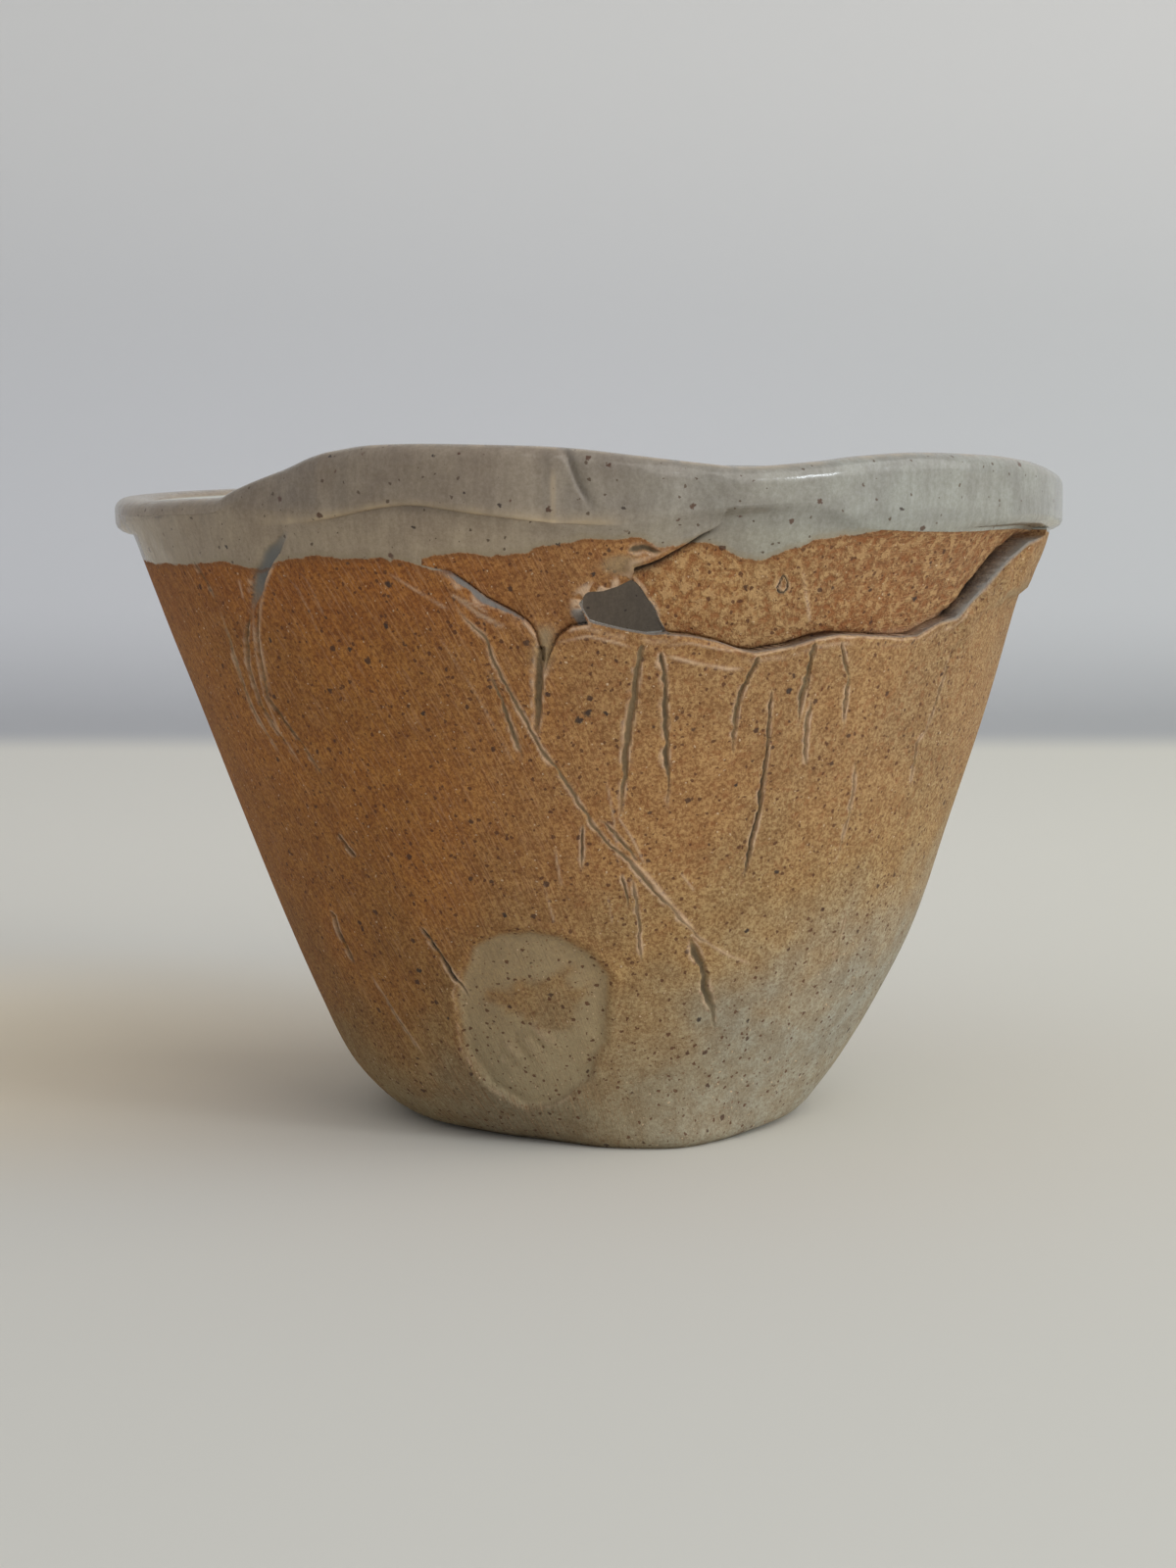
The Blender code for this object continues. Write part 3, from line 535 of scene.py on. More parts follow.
# The flaps' steps: the panel lies 1.7 mm behind the lower lip and the band 0.9 mm behind the left
# wall, and both come forward again under the collar.
PANEL_SETBACK = 0.0017
BAND_SETBACK = 0.0009
OVER_RIM = 0.070
hole_right = route((5.3, 49.0), (6.5, 48.2), (7.4, 47.3), (8.2, 46.6), (8.9, 45.6), (9.5, 44.6))
hole_top = route((0.0, 45.4), (-1.0, 47.0), (-0.3, 47.9), (1.6, 48.0), (3.5, 48.4), (5.3, 49.0), (5.4, 49.9))
panel_outline = np.vstack((right_tear, [(76.0, OVER_RIM), (15.4, OVER_RIM)], band_edge[::-1], hole_right))
band_outline = np.vstack((left_tear, left_lip, hole_top, band_edge, [(15.4, OVER_RIM), (-19.5, OVER_RIM)]))
probe_azimuth = np.where(on_hole, 4.0 + 1.10 * (azimuth - 4.0), azimuth)
probe_height = np.where(on_hole, 0.0467 + 1.10 * (height - 0.0467), height)
in_panel = inside_outline(probe_azimuth, probe_height, panel_outline) & outside & ~on_right & ~on_band
in_band = inside_outline(probe_azimuth, probe_height, band_outline) & outside & ~on_left & ~on_left_lip
in_band |= on_band
panel_low = np.interp(azimuth, right_tear[:, 0], right_tear[:, 1])
band_places = (
    (-19.5, 50.0), (-16.2, 49.5), (-12.1, 47.4), (-9.0, 46.3), (-6.3, 44.7), (-2.0, 45.2), (0.0, 46.0),
    (5.3, 49.0), (15.4, 53.0),
)
band_low = 0.001 * np.interp(azimuth, *zip(*band_places))
up = limited((height - panel_low) / np.maximum(edge - panel_low, 0.0005))
top_share = 0.75 - 0.60 * smooth(15.0, 26.0, azimuth)
under_collar = smooth(0.0, 0.0009, edge - height)
closer = 1.0 - 0.45 * smooth(38.0, 54.0, azimuth)
sink = np.where(in_panel, PANEL_SETBACK * closer * (1.0 - (1.0 - top_share) * up) * under_collar, 0.0)
up = limited((height - band_low) / np.maximum(edge - band_low, 0.0005))
ramp = smooth(-20.5, -8.0, azimuth)
joined = bell(azimuth + 5.4, 2.0) * smooth(0.0463, 0.0443, height)
sink = np.where(in_band, BAND_SETBACK * ramp * (1.0 - 0.85 * joined) * (1.0 - 0.85 * up) * under_collar, sink)


def uneven(size, seed):
    """Smooth irregular values from about -1 to 1 over the wall, in patches of about this size."""
    scaled = points * (0.8 / size) + 7.3 * seed
    return 1.8 * np.array([noise.noise(Vector(place)) for place in scaled])


# The marks kept at the vertices: painted shade in the gaps, cracks and folds; pale lines that are partly pale
# crumbs and partly painted highlight; grey raw clay at torn edges; khaki clay in crack floors.
marks = {name: np.zeros(len(azimuth)) for name in ("gap_shade", "torn", "pale_and_highlight", "khaki")}


def tint(name, rows, strength, amount):
    """Strengthen a mark at some of the vertices."""
    marks[name] = np.maximum(marks[name], np.where(rows, strength * amount, 0.0))


def press(rows, depth):
    """Press some of the vertices in, or raise them where the depth is negative."""
    sink[:] += np.where(rows, depth, 0.0)


crumbs = uneven(0.0005, 1)
lumps = uneven(0.0014, 2)
swells = uneven(0.0040, 3)
ragged_light = limited(0.52 + 0.70 * lumps + 0.45 * crumbs)

# The lower lip stands up along its torn edge, curls outwards at the far right, and leaves a thin gap
# in front of the panel, which opens to about a millimetre there. The gap is darkened with painted
# shade, and the pale lines along the lip are partly painted highlight.
distance = beside(points, right_tear)[0]
below = outside & ~in_panel & ~in_band & ~on_hole
behind = in_panel & (distance < 0.004)
opening = smooth(50.0, 54.0, azimuth) * (1.0 - smooth(66.0, 74.0, azimuth))
tear_fade = 1.0 - smooth(70.0, 76.0, azimuth)
gap_reach = distance / (1.0 + 0.25 * lumps)
press(behind, tear_fade * 0.0005 * (1.0 - opening) * bell(distance, 0.00018))
press(behind, tear_fade * 0.0006 * opening * smooth(0.00070, 0.00040, gap_reach))
tint("gap_shade", behind, tear_fade * (1.0 - opening) * (0.60 + 0.35 * swells), bell(gap_reach, 0.00013))
tint("gap_shade", behind, tear_fade * opening * (0.85 + 0.3 * lumps), smooth(0.00060, 0.00036, gap_reach))
lip = below & (distance < 0.003) & (azimuth > 9.0)
bead = distance - 0.00048 - 0.00012 * lumps
press(lip, -0.00007 * tear_fade * (1.0 + lumps) * bell(bead, 0.00032))
press(lip, tear_fade * 0.00018 * bell(distance, 0.00012))
broken = np.clip(0.50 + 0.60 * swells + 0.35 * crumbs, 0.05, 1.0)
broken *= 0.95 * tear_fade * (1.0 - 0.5 * opening)
tint("pale_and_highlight", lip, broken, bell(distance - 0.00018 - 0.00008 * lumps, 0.00008))
tint("pale_and_highlight", lip, 0.8 * tear_fade * limited(swells + 0.2 * crumbs), bell(distance - 0.00075, 0.00015))
tint("torn", lip, tear_fade * (0.7 + 0.3 * opening), bell(distance, 0.00009 + 0.00016 * opening))
flare_below = np.interp(azimuth, right_tear[:, 0], right_tear[:, 1]) - height
curl_places = (
    (46, 0.0), (52, 0.12), (58, 0.42), (64, 0.80), (70, 1.0), (80, 1.0), (90, 0.5), (97, 0.15), (104, 0.0),
)
curl = np.interp(azimuth, *zip(*curl_places))
tab = smooth(0.0050, 0.0045, flare_below + 0.0004 * lumps) * smooth(62.0, 68.0, azimuth)
outward = 0.45 * bell(flare_below, 0.0036) + 0.55 * np.maximum(tab, bell(flare_below, 0.0030))
press(below, -0.0012 * curl * outward)
skin = opening * smooth(0.0052, 0.0042, flare_below) * smooth(0.0002, 0.0006, distance)
press(below, skin * (0.00010 - 0.00012 * crumbs - 0.00030 * lumps))
tint("khaki", below & (azimuth > 50.0), 0.8 * tab, bell(flare_below - 0.0045, 0.0005))

rising = smooth(37.0, 43.0, azimuth) * (1.0 - opening)
marks["gap_shade"] *= np.where(behind, 1.0 - 0.65 * rising, 1.0)
tint("pale_and_highlight", behind, 0.85 * rising * ragged_light, bell(distance, 0.00045))

# The left wall's torn edge is bevelled: grey raw clay down to a line of painted shade against the
# band. Its pale lines are partly painted highlight.
distance, share, _ = beside(points, left_tear)
size = smooth(0.0, 0.30, share)
left_flap = below & (distance < 0.003) & (azimuth < -4.0)
bevel = (0.00036 + 0.00018 * lumps + 0.00006 * crumbs) * (0.25 + 0.75 * smooth(0.05, 0.35, share))
bevel *= 1.0 - 0.80 * smooth(0.48, 0.74, share)
press(left_flap, size * 0.00050 * limited(1.0 - distance / np.maximum(bevel, 0.0001)))
press(left_flap, -0.00012 * size * bell(distance - 0.00085, 0.00030))
tint("torn", left_flap, size * smooth(0.85, 0.70, share), smooth(1.15 * bevel, 0.8 * bevel, distance))
tint("pale_and_highlight", left_flap, size * ragged_light, bell(distance - 1.35 * bevel, 0.00013))
middle = smooth(0.25, 0.4, share) * (1.0 - smooth(0.6, 0.75, share))
tint("pale_and_highlight", left_flap, middle, bell(distance - 0.00135, 0.00016))
behind = in_band & (azimuth < -4.0) & (distance < 0.003)
press(behind, size * 0.00035 * bell(distance, 0.00014))
closing = smooth(0.88, 0.72, share)
tint("gap_shade", behind, closing * size * (0.7 + 0.3 * lumps), bell(distance, 0.00011))
tint("khaki", in_band, 0.9, bell((azimuth + 5.2) / 1.3, 1.0) * smooth(0.0458, 0.0446, height))

# The right flap's upper left corner, and the band's brown, curled lip over the panel, with painted
# shadow under both and pale lines along their ridges that are partly painted highlight.
distance, share, _ = beside(points, left_lip)
corner = below & (distance < 0.002) & (azimuth > -5.8)
press(corner, -0.00012 * bell(distance - 0.00040, 0.00030))
tint("pale_and_highlight", corner, ragged_light, bell(distance - 0.00016, 0.00014))
tint("khaki", below, 0.9, bell(azimuth + 5.6, 1.1) * bell(height - 0.0430, 0.0011))
behind = in_band & (distance < 0.002)
press(behind, 0.00030 * smooth(0.35, 0.65, share) * bell(distance, 0.00018))
tint("gap_shade", behind, 0.45 * smooth(0.60, 0.85, share), bell(distance, 0.00010))
distance, share, _ = beside(points, band_edge)
fade = 1.0 - smooth(0.70, 1.0, share)
lip = in_band & (distance < 0.002)
press(lip, -fade * (0.00036 + 0.00012 * lumps) * bell(distance - 0.0003, 0.00040))
tint("pale_and_highlight", lip, 0.55 * fade * smooth(0.7, 0.3, share) * ragged_light, bell(distance - 0.00045, 0.00016))
behind = in_panel & (distance < 0.002)
press(behind, fade * 0.0007 * bell(distance, 0.00030))
tint("gap_shade", behind, fade, bell(distance, 0.00030 + 0.00022 * smooth(0.65, 0.25, share) + 0.00008 * lumps))

# The hole's ragged edge is raw clay, pinkish and crumbling along the top and thin at its left tip.
# Its pale lines are partly pale crumbs and partly painted highlight.
distance = beside(points, hole_outline)[0]
facet = smooth(0.00105, 0.00085, distance - 0.00010 * lumps)
facet *= smooth(0.8, 0.2, azimuth) * smooth(0.0469, 0.0464, height)
tint("torn", in_band, 0.90, facet)
tint("pale_and_highlight", in_band, 0.45, facet)
rough_edge = outside & (distance < 0.002)
crumbling = smooth(-0.25, 0.30, crumbs + 0.6 * lumps)
tint("pale_and_highlight", rough_edge & in_band, crumbling * smooth(6.0, 4.5, azimuth), smooth(0.00095, 0.00040, distance))
press(rough_edge & in_band, -0.00014 * crumbling * bell(distance - 0.0004, 0.0004))
tint("pale_and_highlight", rough_edge & in_panel, 0.7 * ragged_light, smooth(0.00040, 0.00018, distance))
tint("pale_and_highlight", rough_edge & below, 0.6 * ragged_light, bell(distance - 0.0006, 0.00022))
tint("torn", on_hole & ~(height > 0.0472), 1.0, 1.0)
tint("khaki", in_band, 0.75, smooth(1.0, 0.4, np.hypot((azimuth - 3.9) / 3.4, (height - 0.0501) / 0.0011)))

# The cracks are shallow, with khaki floors and pale edges that are partly painted highlight; painted
# shade darkens only the deepest parts.
for line, crack in zip(crack_lines, CRACKS.values()):
    width, depth, floor_shade, start, end = crack[:-1]
    width *= 0.001
    depth *= 0.001
    distance, share, side = beside(points, line)
    distance = np.abs(distance * side + 0.00010 * lumps + 0.00006 * crumbs)
    near = outside & (distance < 0.002)
    size = smooth(0.0, max(start, 0.02), share) * smooth(0.0, end, 1.0 - share)
    varied = min(1.0, 0.00045 / width) ** 2
    size = np.clip(size * (1.0 + varied * (0.40 * lumps + 0.35 * swells + 0.20 * crumbs)), 0.0, 1.15)
    half = 0.5 * width * (0.35 + 0.65 * size)
    floor_share = smooth(1.0, 0.45, distance / half) * smooth(0.0, 0.2, size)
    press(near, depth * size * floor_share)
    press(near, -0.00004 * size * bell(distance - 1.30 * half, 0.00013))
    tint("khaki", near, limited(1.3 * size), floor_share)
    tint("torn", near & (width > 0.0008), size, floor_share)
    tint("gap_shade", near, floor_shade * size, smooth(0.75, 0.25, distance / half))
    tint("pale_and_highlight", near, limited(1.5 * size) * ragged_light, bell(distance - 1.15 * half, 0.00010))

for line, (width, strength, _) in zip(crease_lines, CREASES):
    distance, share, _ = beside(points, line)
    near = outside & (distance < 0.002)
    size = smooth(0.0, 0.15, share) * smooth(0.0, 0.15, 1.0 - share) * limited(0.8 + 0.4 * lumps)
    press(near, -0.00008 * strength * size * bell(distance, 0.00022))
    tint("pale_and_highlight", near, strength * size, bell(distance, 0.001 * width))

# The stamp's oval has a sloping edge and soft parallel comb strokes on its uneven floor. The strokes'
# crests and the oval's lower left rim carry painted highlight.
distance = beside(points, stamp_outline)[0]
in_stamp = inside_outline(azimuth, height, stamp_outline) & outside
depth_in = np.where(in_stamp, distance, -distance) + 0.00010 * lumps
press(outside & (distance < 1.0), 0.0006 * smooth(-0.0002, 0.0008, depth_in))
press(outside, -0.00008 * bell(depth_in + 0.00045, 0.00035))
stamp_floor = np.where(in_stamp, smooth(0.0006, 0.0014, depth_in), 0.0)
COMB_PITCH = 1.5
across = 0.42 * (azimuth + 12.0)
up = 1000.0 * height - 9.2
comb_across = 0.80 * across + 0.60 * up
comb_along = 0.80 * up - 0.60 * across
comb = limited(np.sin(comb_across * 2.0 * math.pi / COMB_PITCH))
comb *= smooth(1.6, 1.0, np.abs(comb_along)) * smooth(3.0, 2.4, np.abs(comb_across))
sink -= stamp_floor * (0.00009 * swells + 0.00005 * lumps + 0.00032 * comb)
tint("pale_and_highlight", in_stamp, 0.60 * ragged_light, comb**3)
way_round = np.arctan2(height * 1000.0 - 11.7, (azimuth + 10.8) * 0.48)
lower_left = smooth(-0.3, 0.7, np.cos(np.radians(-135.0) - way_round))
tint("pale_and_highlight", outside, 0.65 * lower_left * ragged_light, bell(depth_in + 0.00002, 0.00009))
orange_patch = np.hypot((azimuth + 8.5) / 7.5, (height - 0.0137) / 0.0030) + 0.35 * lumps + 0.30 * swells
pressed = np.where(in_stamp, smooth(0.0, 0.0006, depth_in), 0.0)
pressed *= 1.0 - 0.9 * smooth(1.05, 0.60, orange_patch)

# Thumbed ridges and folds in the collar.
in_collar = (run > 0.0) & (run < WALL_START)
press(in_collar, 0.00010 * bell(azimuth + 29.4, 1.4) - 0.00016 * bell(azimuth + 31.6, 0.8))
formed_height = section(azimuth, run)[1]
fold_azimuth = np.interp(formed_height, [0.0545, 0.0565, 0.0589], [0.4, -1.1, -2.4])
fold_fade = smooth(0.0542, 0.0560, formed_height)
press(in_collar, fold_fade * 0.00026 * bell(azimuth - fold_azimuth, 0.45))
press(in_collar, -0.00018 * bell(azimuth + 4.0, 0.9) - 0.00010 * bell(azimuth - fold_azimuth - 1.5, 1.0))
fold_shade = np.where(in_collar, fold_fade * bell(azimuth - fold_azimuth, 0.34), 0.0)
crest_fade = smooth(0.0579, 0.0566, formed_height)
fold_crest = np.where(in_collar, crest_fade * ragged_light * bell(azimuth + 4.0 - 0.3 * lumps, 0.30), 0.0)
wrinkled = outside & (height > 0.0490)
press(wrinkled | in_collar, 0.00006 * swells)
front_wall = smooth(-45.0, -30.0, azimuth) * smooth(6.0, -2.0, azimuth)
press(wrinkled, -0.00006 * front_wall * np.abs(uneven(0.0011, 5)))

UV_SCALE = 10.0
vertex_uv = np.column_stack((np.radians(azimuth) * SHEET_RADIUS, run)) * UV_SCALE
corners = np.empty(len(cup.data.loops), int)
cup.data.loops.foreach_get("vertex_index", corners)
cup.data.uv_layers[0].name = "sheet"
cup.data.uv_layers[0].uv.foreach_set("vector", vertex_uv[corners].ravel())

# The glaze covers the inside, the collar and a little of the wall below it, to this wavy edge.
GLAZE_EDGE = (
    (-180, 50.2), (-130, 49.4), (-95, 49.2), (-75, 48.9), (-56.5, 49.3), (-49, 49.7), (-43.8, 49.3),
    (-38.8, 50.0), (-33, 50.5), (-29.3, 50.3), (-25.7, 50.5), (-22.5, 50.3), (-20.0, 50.5), (-17.8, 50.9),
    (-14.1, 51.0), (-11.2, 50.8), (-7.1, 51.1), (-4.5, 51.7), (-2.1, 51.9), (-0.1, 52.2), (5.7, 52.2),
    (8.2, 51.5), (12.9, 51.8), (14.9, 51.6), (16.2, 51.3), (17.8, 50.6), (19.9, 50.4), (22.0, 50.5),
    (23.5, 51.0), (26.0, 51.4), (27.9, 52.0), (31.4, 52.1), (34.9, 52.4), (37.3, 52.8), (41.1, 52.8),
    (44.0, 52.6), (50.3, 52.3), (56.9, 52.4), (69.0, 52.2), (90, 51.2), (120, 50.8), (150, 51.3), (180, 50.2),
)
flap_edge = np.interp(azimuth, [-24.0, -22.0, -19.5, -16.6, -14.0], [50.5, 50.4, 49.9, 49.6, 49.4])
on_left_flap = (azimuth < -12.0) & (azimuth > -23.0) & ~in_band
glaze_edge = np.where(on_left_flap, flap_edge, fair_curve(azimuth, GLAZE_EDGE))
over_edge = 1000.0 * height - glaze_edge
glaze = np.where(run > WALL_END, -5.0, np.where(run < WALL_START, 5.0, over_edge))
glaze = np.where((run >= LIP_RUN) & (run < WALL_START), 3.0, glaze)
glaze = np.where(run < -0.5 * LIP_RUN, 9.0, glaze)

turn = np.radians(azimuth)
inward = np.column_stack((-np.sin(turn), np.cos(turn), 0.0 * turn))
cup_points = bent(azimuth, run) + inward * sink[:, None]
cup.data.vertices.foreach_set("co", cup_points.ravel())

thin = 0.6 * ragged_light * bell(run - 0.0004, 0.0006)
ridge_line = smooth(-43.0, -36.0, azimuth) * (1.0 - smooth(0.0, 5.0, azimuth)) * (0.45 + 0.55 * ragged_light)
thin = np.maximum(thin, 0.9 * ridge_line * bell(run - COLLAR_RUN - 0.0005, 0.00060))
thin = np.maximum(thin, 0.5 * fold_crest)
# Painted shade along the collar's fold.
tint("gap_shade", in_collar, 0.45, fold_shade)
under_side = (1.0 - fair_curve(azimuth, COLLAR_SOFT)) * smooth(40.0, 60.0, np.abs(azimuth))
thin = np.maximum(thin, 0.6 * under_side * ragged_light * bell(run - COLLAR_RUN - 0.0009, 0.0004))

marks.update({"thin": thin, "glaze": glaze, "panel": in_panel * 1.0, "pressed": pressed})
for name, values in marks.items():
    layer = cup.data.attributes.new(name, "FLOAT", "POINT")
    layer.data.foreach_set("value", values)

# Single iron spots that stand out, each with its azimuth, height and radius in millimetres, and the
# rusty ones among them.
DARK_SPOTS = (
    (-24.0, 48.4, 0.46), (-1.4, 37.7, 0.44), (0.1, 38.2, 0.46), (2.0, 38.2, 0.34), (45.0, 46.5, 0.40),
    (-9.6, 54.7, 0.25), (-3.6, 51.9, 0.24), (0.3, 49.6, 0.24), (4.1, 54.7, 0.24), (-13.9, 55.7, 0.20),
    (-20.0, 53.1, 0.20), (-17.0, 58.6, 0.20), (38.0, 54.1, 0.28), (-30.0, 58.4, 0.24), (-47.7, 50.9, 0.24),
    (26.0, 39.6, 0.40), (-44.0, 43.3, 0.30), (-30.7, 43.1, 0.32), (-24.6, 44.9, 0.32), (-21.5, 38.1, 0.32),
    (-12.8, 21.4, 0.32), (-31.0, 15.5, 0.34), (20.6, 32.0, 0.30), (29.5, 24.5, 0.28), (26.0, 19.7, 0.32),
    (20.4, 11.8, 0.32), (30.5, 11.3, 0.28), (-27.0, 11.5, 0.28),
)
RUSTY_SPOTS = (
    (-31.2, 53.8, 0.38), (11.8, 54.7, 0.38), (26.8, 54.9, 0.34), (-14.4, 58.7, 0.26), (0.1, 58.4, 0.30),
    (2.1, 57.8, 0.24), (-4.2, 54.5, 0.34), (16.2, 51.2, 0.38), (42.0, 52.6, 0.40), (29.5, 47.8, 0.32),
    (19.9, 47.9, 0.32), (47.6, 50.6, 0.34), (1.2, 43.2, 0.30), (3.3, 42.4, 0.32), (11.2, 37.7, 0.32),
    (30.4, 38.7, 0.32), (-1.5, 27.9, 0.28), (-12.6, 35.2, 0.30), (-5.0, 13.1, 0.30), (19.0, 8.7, 0.30),
    (35.0, 17.1, 0.30),
)
SPOT_CORE = 0.84
MM_A_DEGREE = 0.66


def spot_centre(spot):
    """Where a spot lies on the finished form, in millimetres."""
    away = np.hypot((azimuth - spot[0]) * MM_A_DEGREE, 1000.0 * cup_points[:, 2] - spot[1])
    return tuple(1000.0 * cup_points[np.argmin(away + np.where(run > 0.0, 0.0, 100.0))])


dark_spots = [(spot_centre(spot), SPOT_CORE * spot[2]) for spot in DARK_SPOTS]
rusty_spots = [(spot_centre(spot), SPOT_CORE * spot[2]) for spot in RUSTY_SPOTS]

# The hole is opened in both skins and bridged, and the sheet's meeting edges are closed.
def face_mean(values):
    return np.array([values[list(face.vertices)].mean() for face in cup.data.polygons])


face_run = face_mean(run)
open_here = inside_outline(face_mean(azimuth), face_mean(height), hole_outline)
open_here &= (face_run < WALL_END) & (face_run > INNER_END)
cup.data.vertices.foreach_set("select", np.zeros(len(cup.data.vertices), bool))
cup.data.edges.foreach_set("select", np.zeros(len(cup.data.edges), bool))
cup.data.polygons.foreach_set("select", open_here)
bpy.ops.object.mode_set(mode="EDIT")
bpy.ops.mesh.delete(type="FACE")
bpy.ops.mesh.select_all(action="SELECT")
bpy.ops.mesh.remove_doubles(threshold=0.000004)
bpy.ops.mesh.select_all(action="DESELECT")
bpy.ops.mesh.select_mode(type="EDGE")
bpy.ops.mesh.select_non_manifold(
    extend=False, use_wire=False, use_boundary=True, use_multi_face=False, use_non_contiguous=False,
    use_verts=False,
)
bpy.ops.mesh.bridge_edge_loops()
bpy.ops.mesh.select_all(action="SELECT")
bpy.ops.mesh.quads_convert_to_tris()
bpy.ops.mesh.normals_make_consistent(inside=False)
bpy.ops.object.mode_set(mode="OBJECT")
bpy.ops.object.shade_smooth_by_angle(angle=math.radians(50.0))


# The finish. The clay fired orange brown where the flame touched it and stayed grey near the foot;
# it is full of sand, pale grog and iron specks. The glaze is thin, glossy, grey and speckled. Each
# helper adds nodes to `tree`, the node tree at hand.
def tone(red, green, blue):
    """Linear colour from the 0 to 255 values that a screen shows."""
    linear = []
    for value in (red, green, blue):
        share = value / 255.0
        linear.append(share / 12.92 if share <= 0.04045 else ((share + 0.055) / 1.055) ** 2.4)
    return (*linear, 1.0)


def add_node(kind, inputs, **settings):
    """Add a node, set it, and fill its sockets with values or links."""
    node = tree.nodes.new(kind)
    for name, value in settings.items():
        setattr(node, name, value)
    for name, value in inputs.items():
        if isinstance(value, bpy.types.NodeSocket):
            tree.links.new(value, node.inputs[name])
        else:
            node.inputs[name].default_value = value
    return node


def grain(vector, scale, detail=2.0, roughness=0.5):
    inputs = {"Vector": vector, "Scale": scale, "Detail": detail, "Roughness": roughness}
    return add_node("ShaderNodeTexNoise", inputs).outputs["Fac"]


def strokes(vector, length, width, turn):
    """Grain drawn out into strokes of this length and width, turned by an angle."""
    inputs = {"Vector": vector, "Scale": (length, width, width), "Rotation": (0.0, 0.0, math.radians(turn))}
    drawn = add_node("ShaderNodeMapping", inputs, vector_type="TEXTURE").outputs["Vector"]
    return grain(drawn, 1.0, 3.0, 0.6)


def between(value, low, high, start=0.0, end=1.0):
    """Soft step of a value between two limits."""
    inputs = {"Value": value, "From Min": low, "From Max": high, "To Min": start, "To Max": end}
    return add_node("ShaderNodeMapRange", inputs, interpolation_type="SMOOTHSTEP").outputs["Result"]


def calculated(way, first, second=0.0, third=0.0):
    return add_node("ShaderNodeMath", {0: first, 1: second, 2: third}, operation=way).outputs[0]


def plus(first, second, times=1.0):
    return calculated("MULTIPLY_ADD", second, times, first)


def times(first, second):
    return calculated("MULTIPLY", first, second)


def blended(share, first, second, way="MIX"):
    """Mix of two colours."""
    node = add_node("ShaderNodeMix", {}, data_type="RGBA", blend_type=way)
    for socket, value in ((node.inputs[0], share), (node.inputs[6], first), (node.inputs[7], second)):
        if isinstance(value, bpy.types.NodeSocket):
            tree.links.new(value, socket)
        else:
            socket.default_value = value
    return node.outputs[2]


def mark(name):
    """One of the marks kept at the cup's vertices."""
    return add_node("ShaderNodeAttribute", {}, attribute_name=name).outputs["Fac"]


def vector_math(way, first, second, third=(0.0, 0.0, 0.0)):
    return add_node("ShaderNodeVectorMath", {0: first, 1: second, 2: third}, operation=way).outputs["Vector"]


def multiplied(colour, factors):
    """A colour multiplied by red, green and blue factors."""
    return blended(1.0, colour, (*factors, 1.0), "MULTIPLY")


def shaded(share, colour, factors):
    """A colour multiplied by factors where a mask says."""
    return blended(share, colour, multiplied(colour, factors))


def layered(colour, layers):
    """A colour under several others, each with its mask, strength and screen values."""
    for mask, strength, values in layers:
        colour = blended(times(mask, strength), colour, tone(*values))
    return colour


def new_group(name, vectors, floats):
    """A node group with vector and float inputs, which puts out one mask."""
    group = bpy.data.node_groups.new(name, "ShaderNodeTree")
    for socket in vectors:
        group.interface.new_socket(name=socket, in_out="INPUT", socket_type="NodeSocketVector")
    for socket in floats:
        group.interface.new_socket(name=socket, in_out="INPUT", socket_type="NodeSocketFloat")
    group.interface.new_socket(name="Mask", in_out="OUTPUT", socket_type="NodeSocketFloat")
    return group


specks = new_group("specks", ["Vector"], ["Scale", "Size", "Share"])
tree = specks
given = tree.nodes.new("NodeGroupInput").outputs
wobble = add_node("ShaderNodeTexNoise", {"Vector": given["Vector"], "Scale": 3.0, "Detail": 1.0})
shift = vector_math("MULTIPLY", wobble.outputs["Color"], (0.35, 0.35, 0.35))
moved = vector_math("ADD", given["Vector"], shift)
cells = add_node("ShaderNodeTexVoronoi", {"Vector": moved, "Scale": given["Scale"]})
picked = add_node("ShaderNodeSeparateColor", {"Color": cells.outputs["Color"]})
size = times(given["Size"], plus(0.45, picked.outputs["Green"], 0.75))
dot = between(calculated("SUBTRACT", size, cells.outputs["Distance"]), 0.0, 0.06)
present = calculated("LESS_THAN", picked.outputs["Red"], given["Share"])
tree.links.new(times(dot, present), tree.nodes.new("NodeGroupOutput").inputs["Mask"])

one_spot = new_group("one_spot", ["Vector", "Centre"], ["Before", "Radius"])
tree = one_spot
given = tree.nodes.new("NodeGroupInput").outputs
away = add_node("ShaderNodeVectorMath", {0: given["Vector"], 1: given["Centre"]}, operation="DISTANCE")
dot = between(calculated("DIVIDE", away.outputs["Value"], given["Radius"]), 1.0, 0.55)
dot = calculated("MAXIMUM", dot, given["Before"])
tree.links.new(dot, tree.nodes.new("NodeGroupOutput").inputs["Mask"])


def speckled(scale, size, share):
    """Mask of scattered specks of this frequency and size, in a share of the places."""
    inputs = {"Vector": place, "Scale": scale, "Size": size, "Share": share}
    return add_node("ShaderNodeGroup", inputs, node_tree=specks).outputs["Mask"]


def spotted(vector, spots):
    """Mask of a list of single spots, each with its centre and radius."""
    mask = 0.0
    for centre, radius in spots:
        inputs = {"Before": mask, "Vector": vector, "Centre": centre, "Radius": radius}
        mask = add_node("ShaderNodeGroup", inputs, node_tree=one_spot).outputs["Mask"]
    return mask


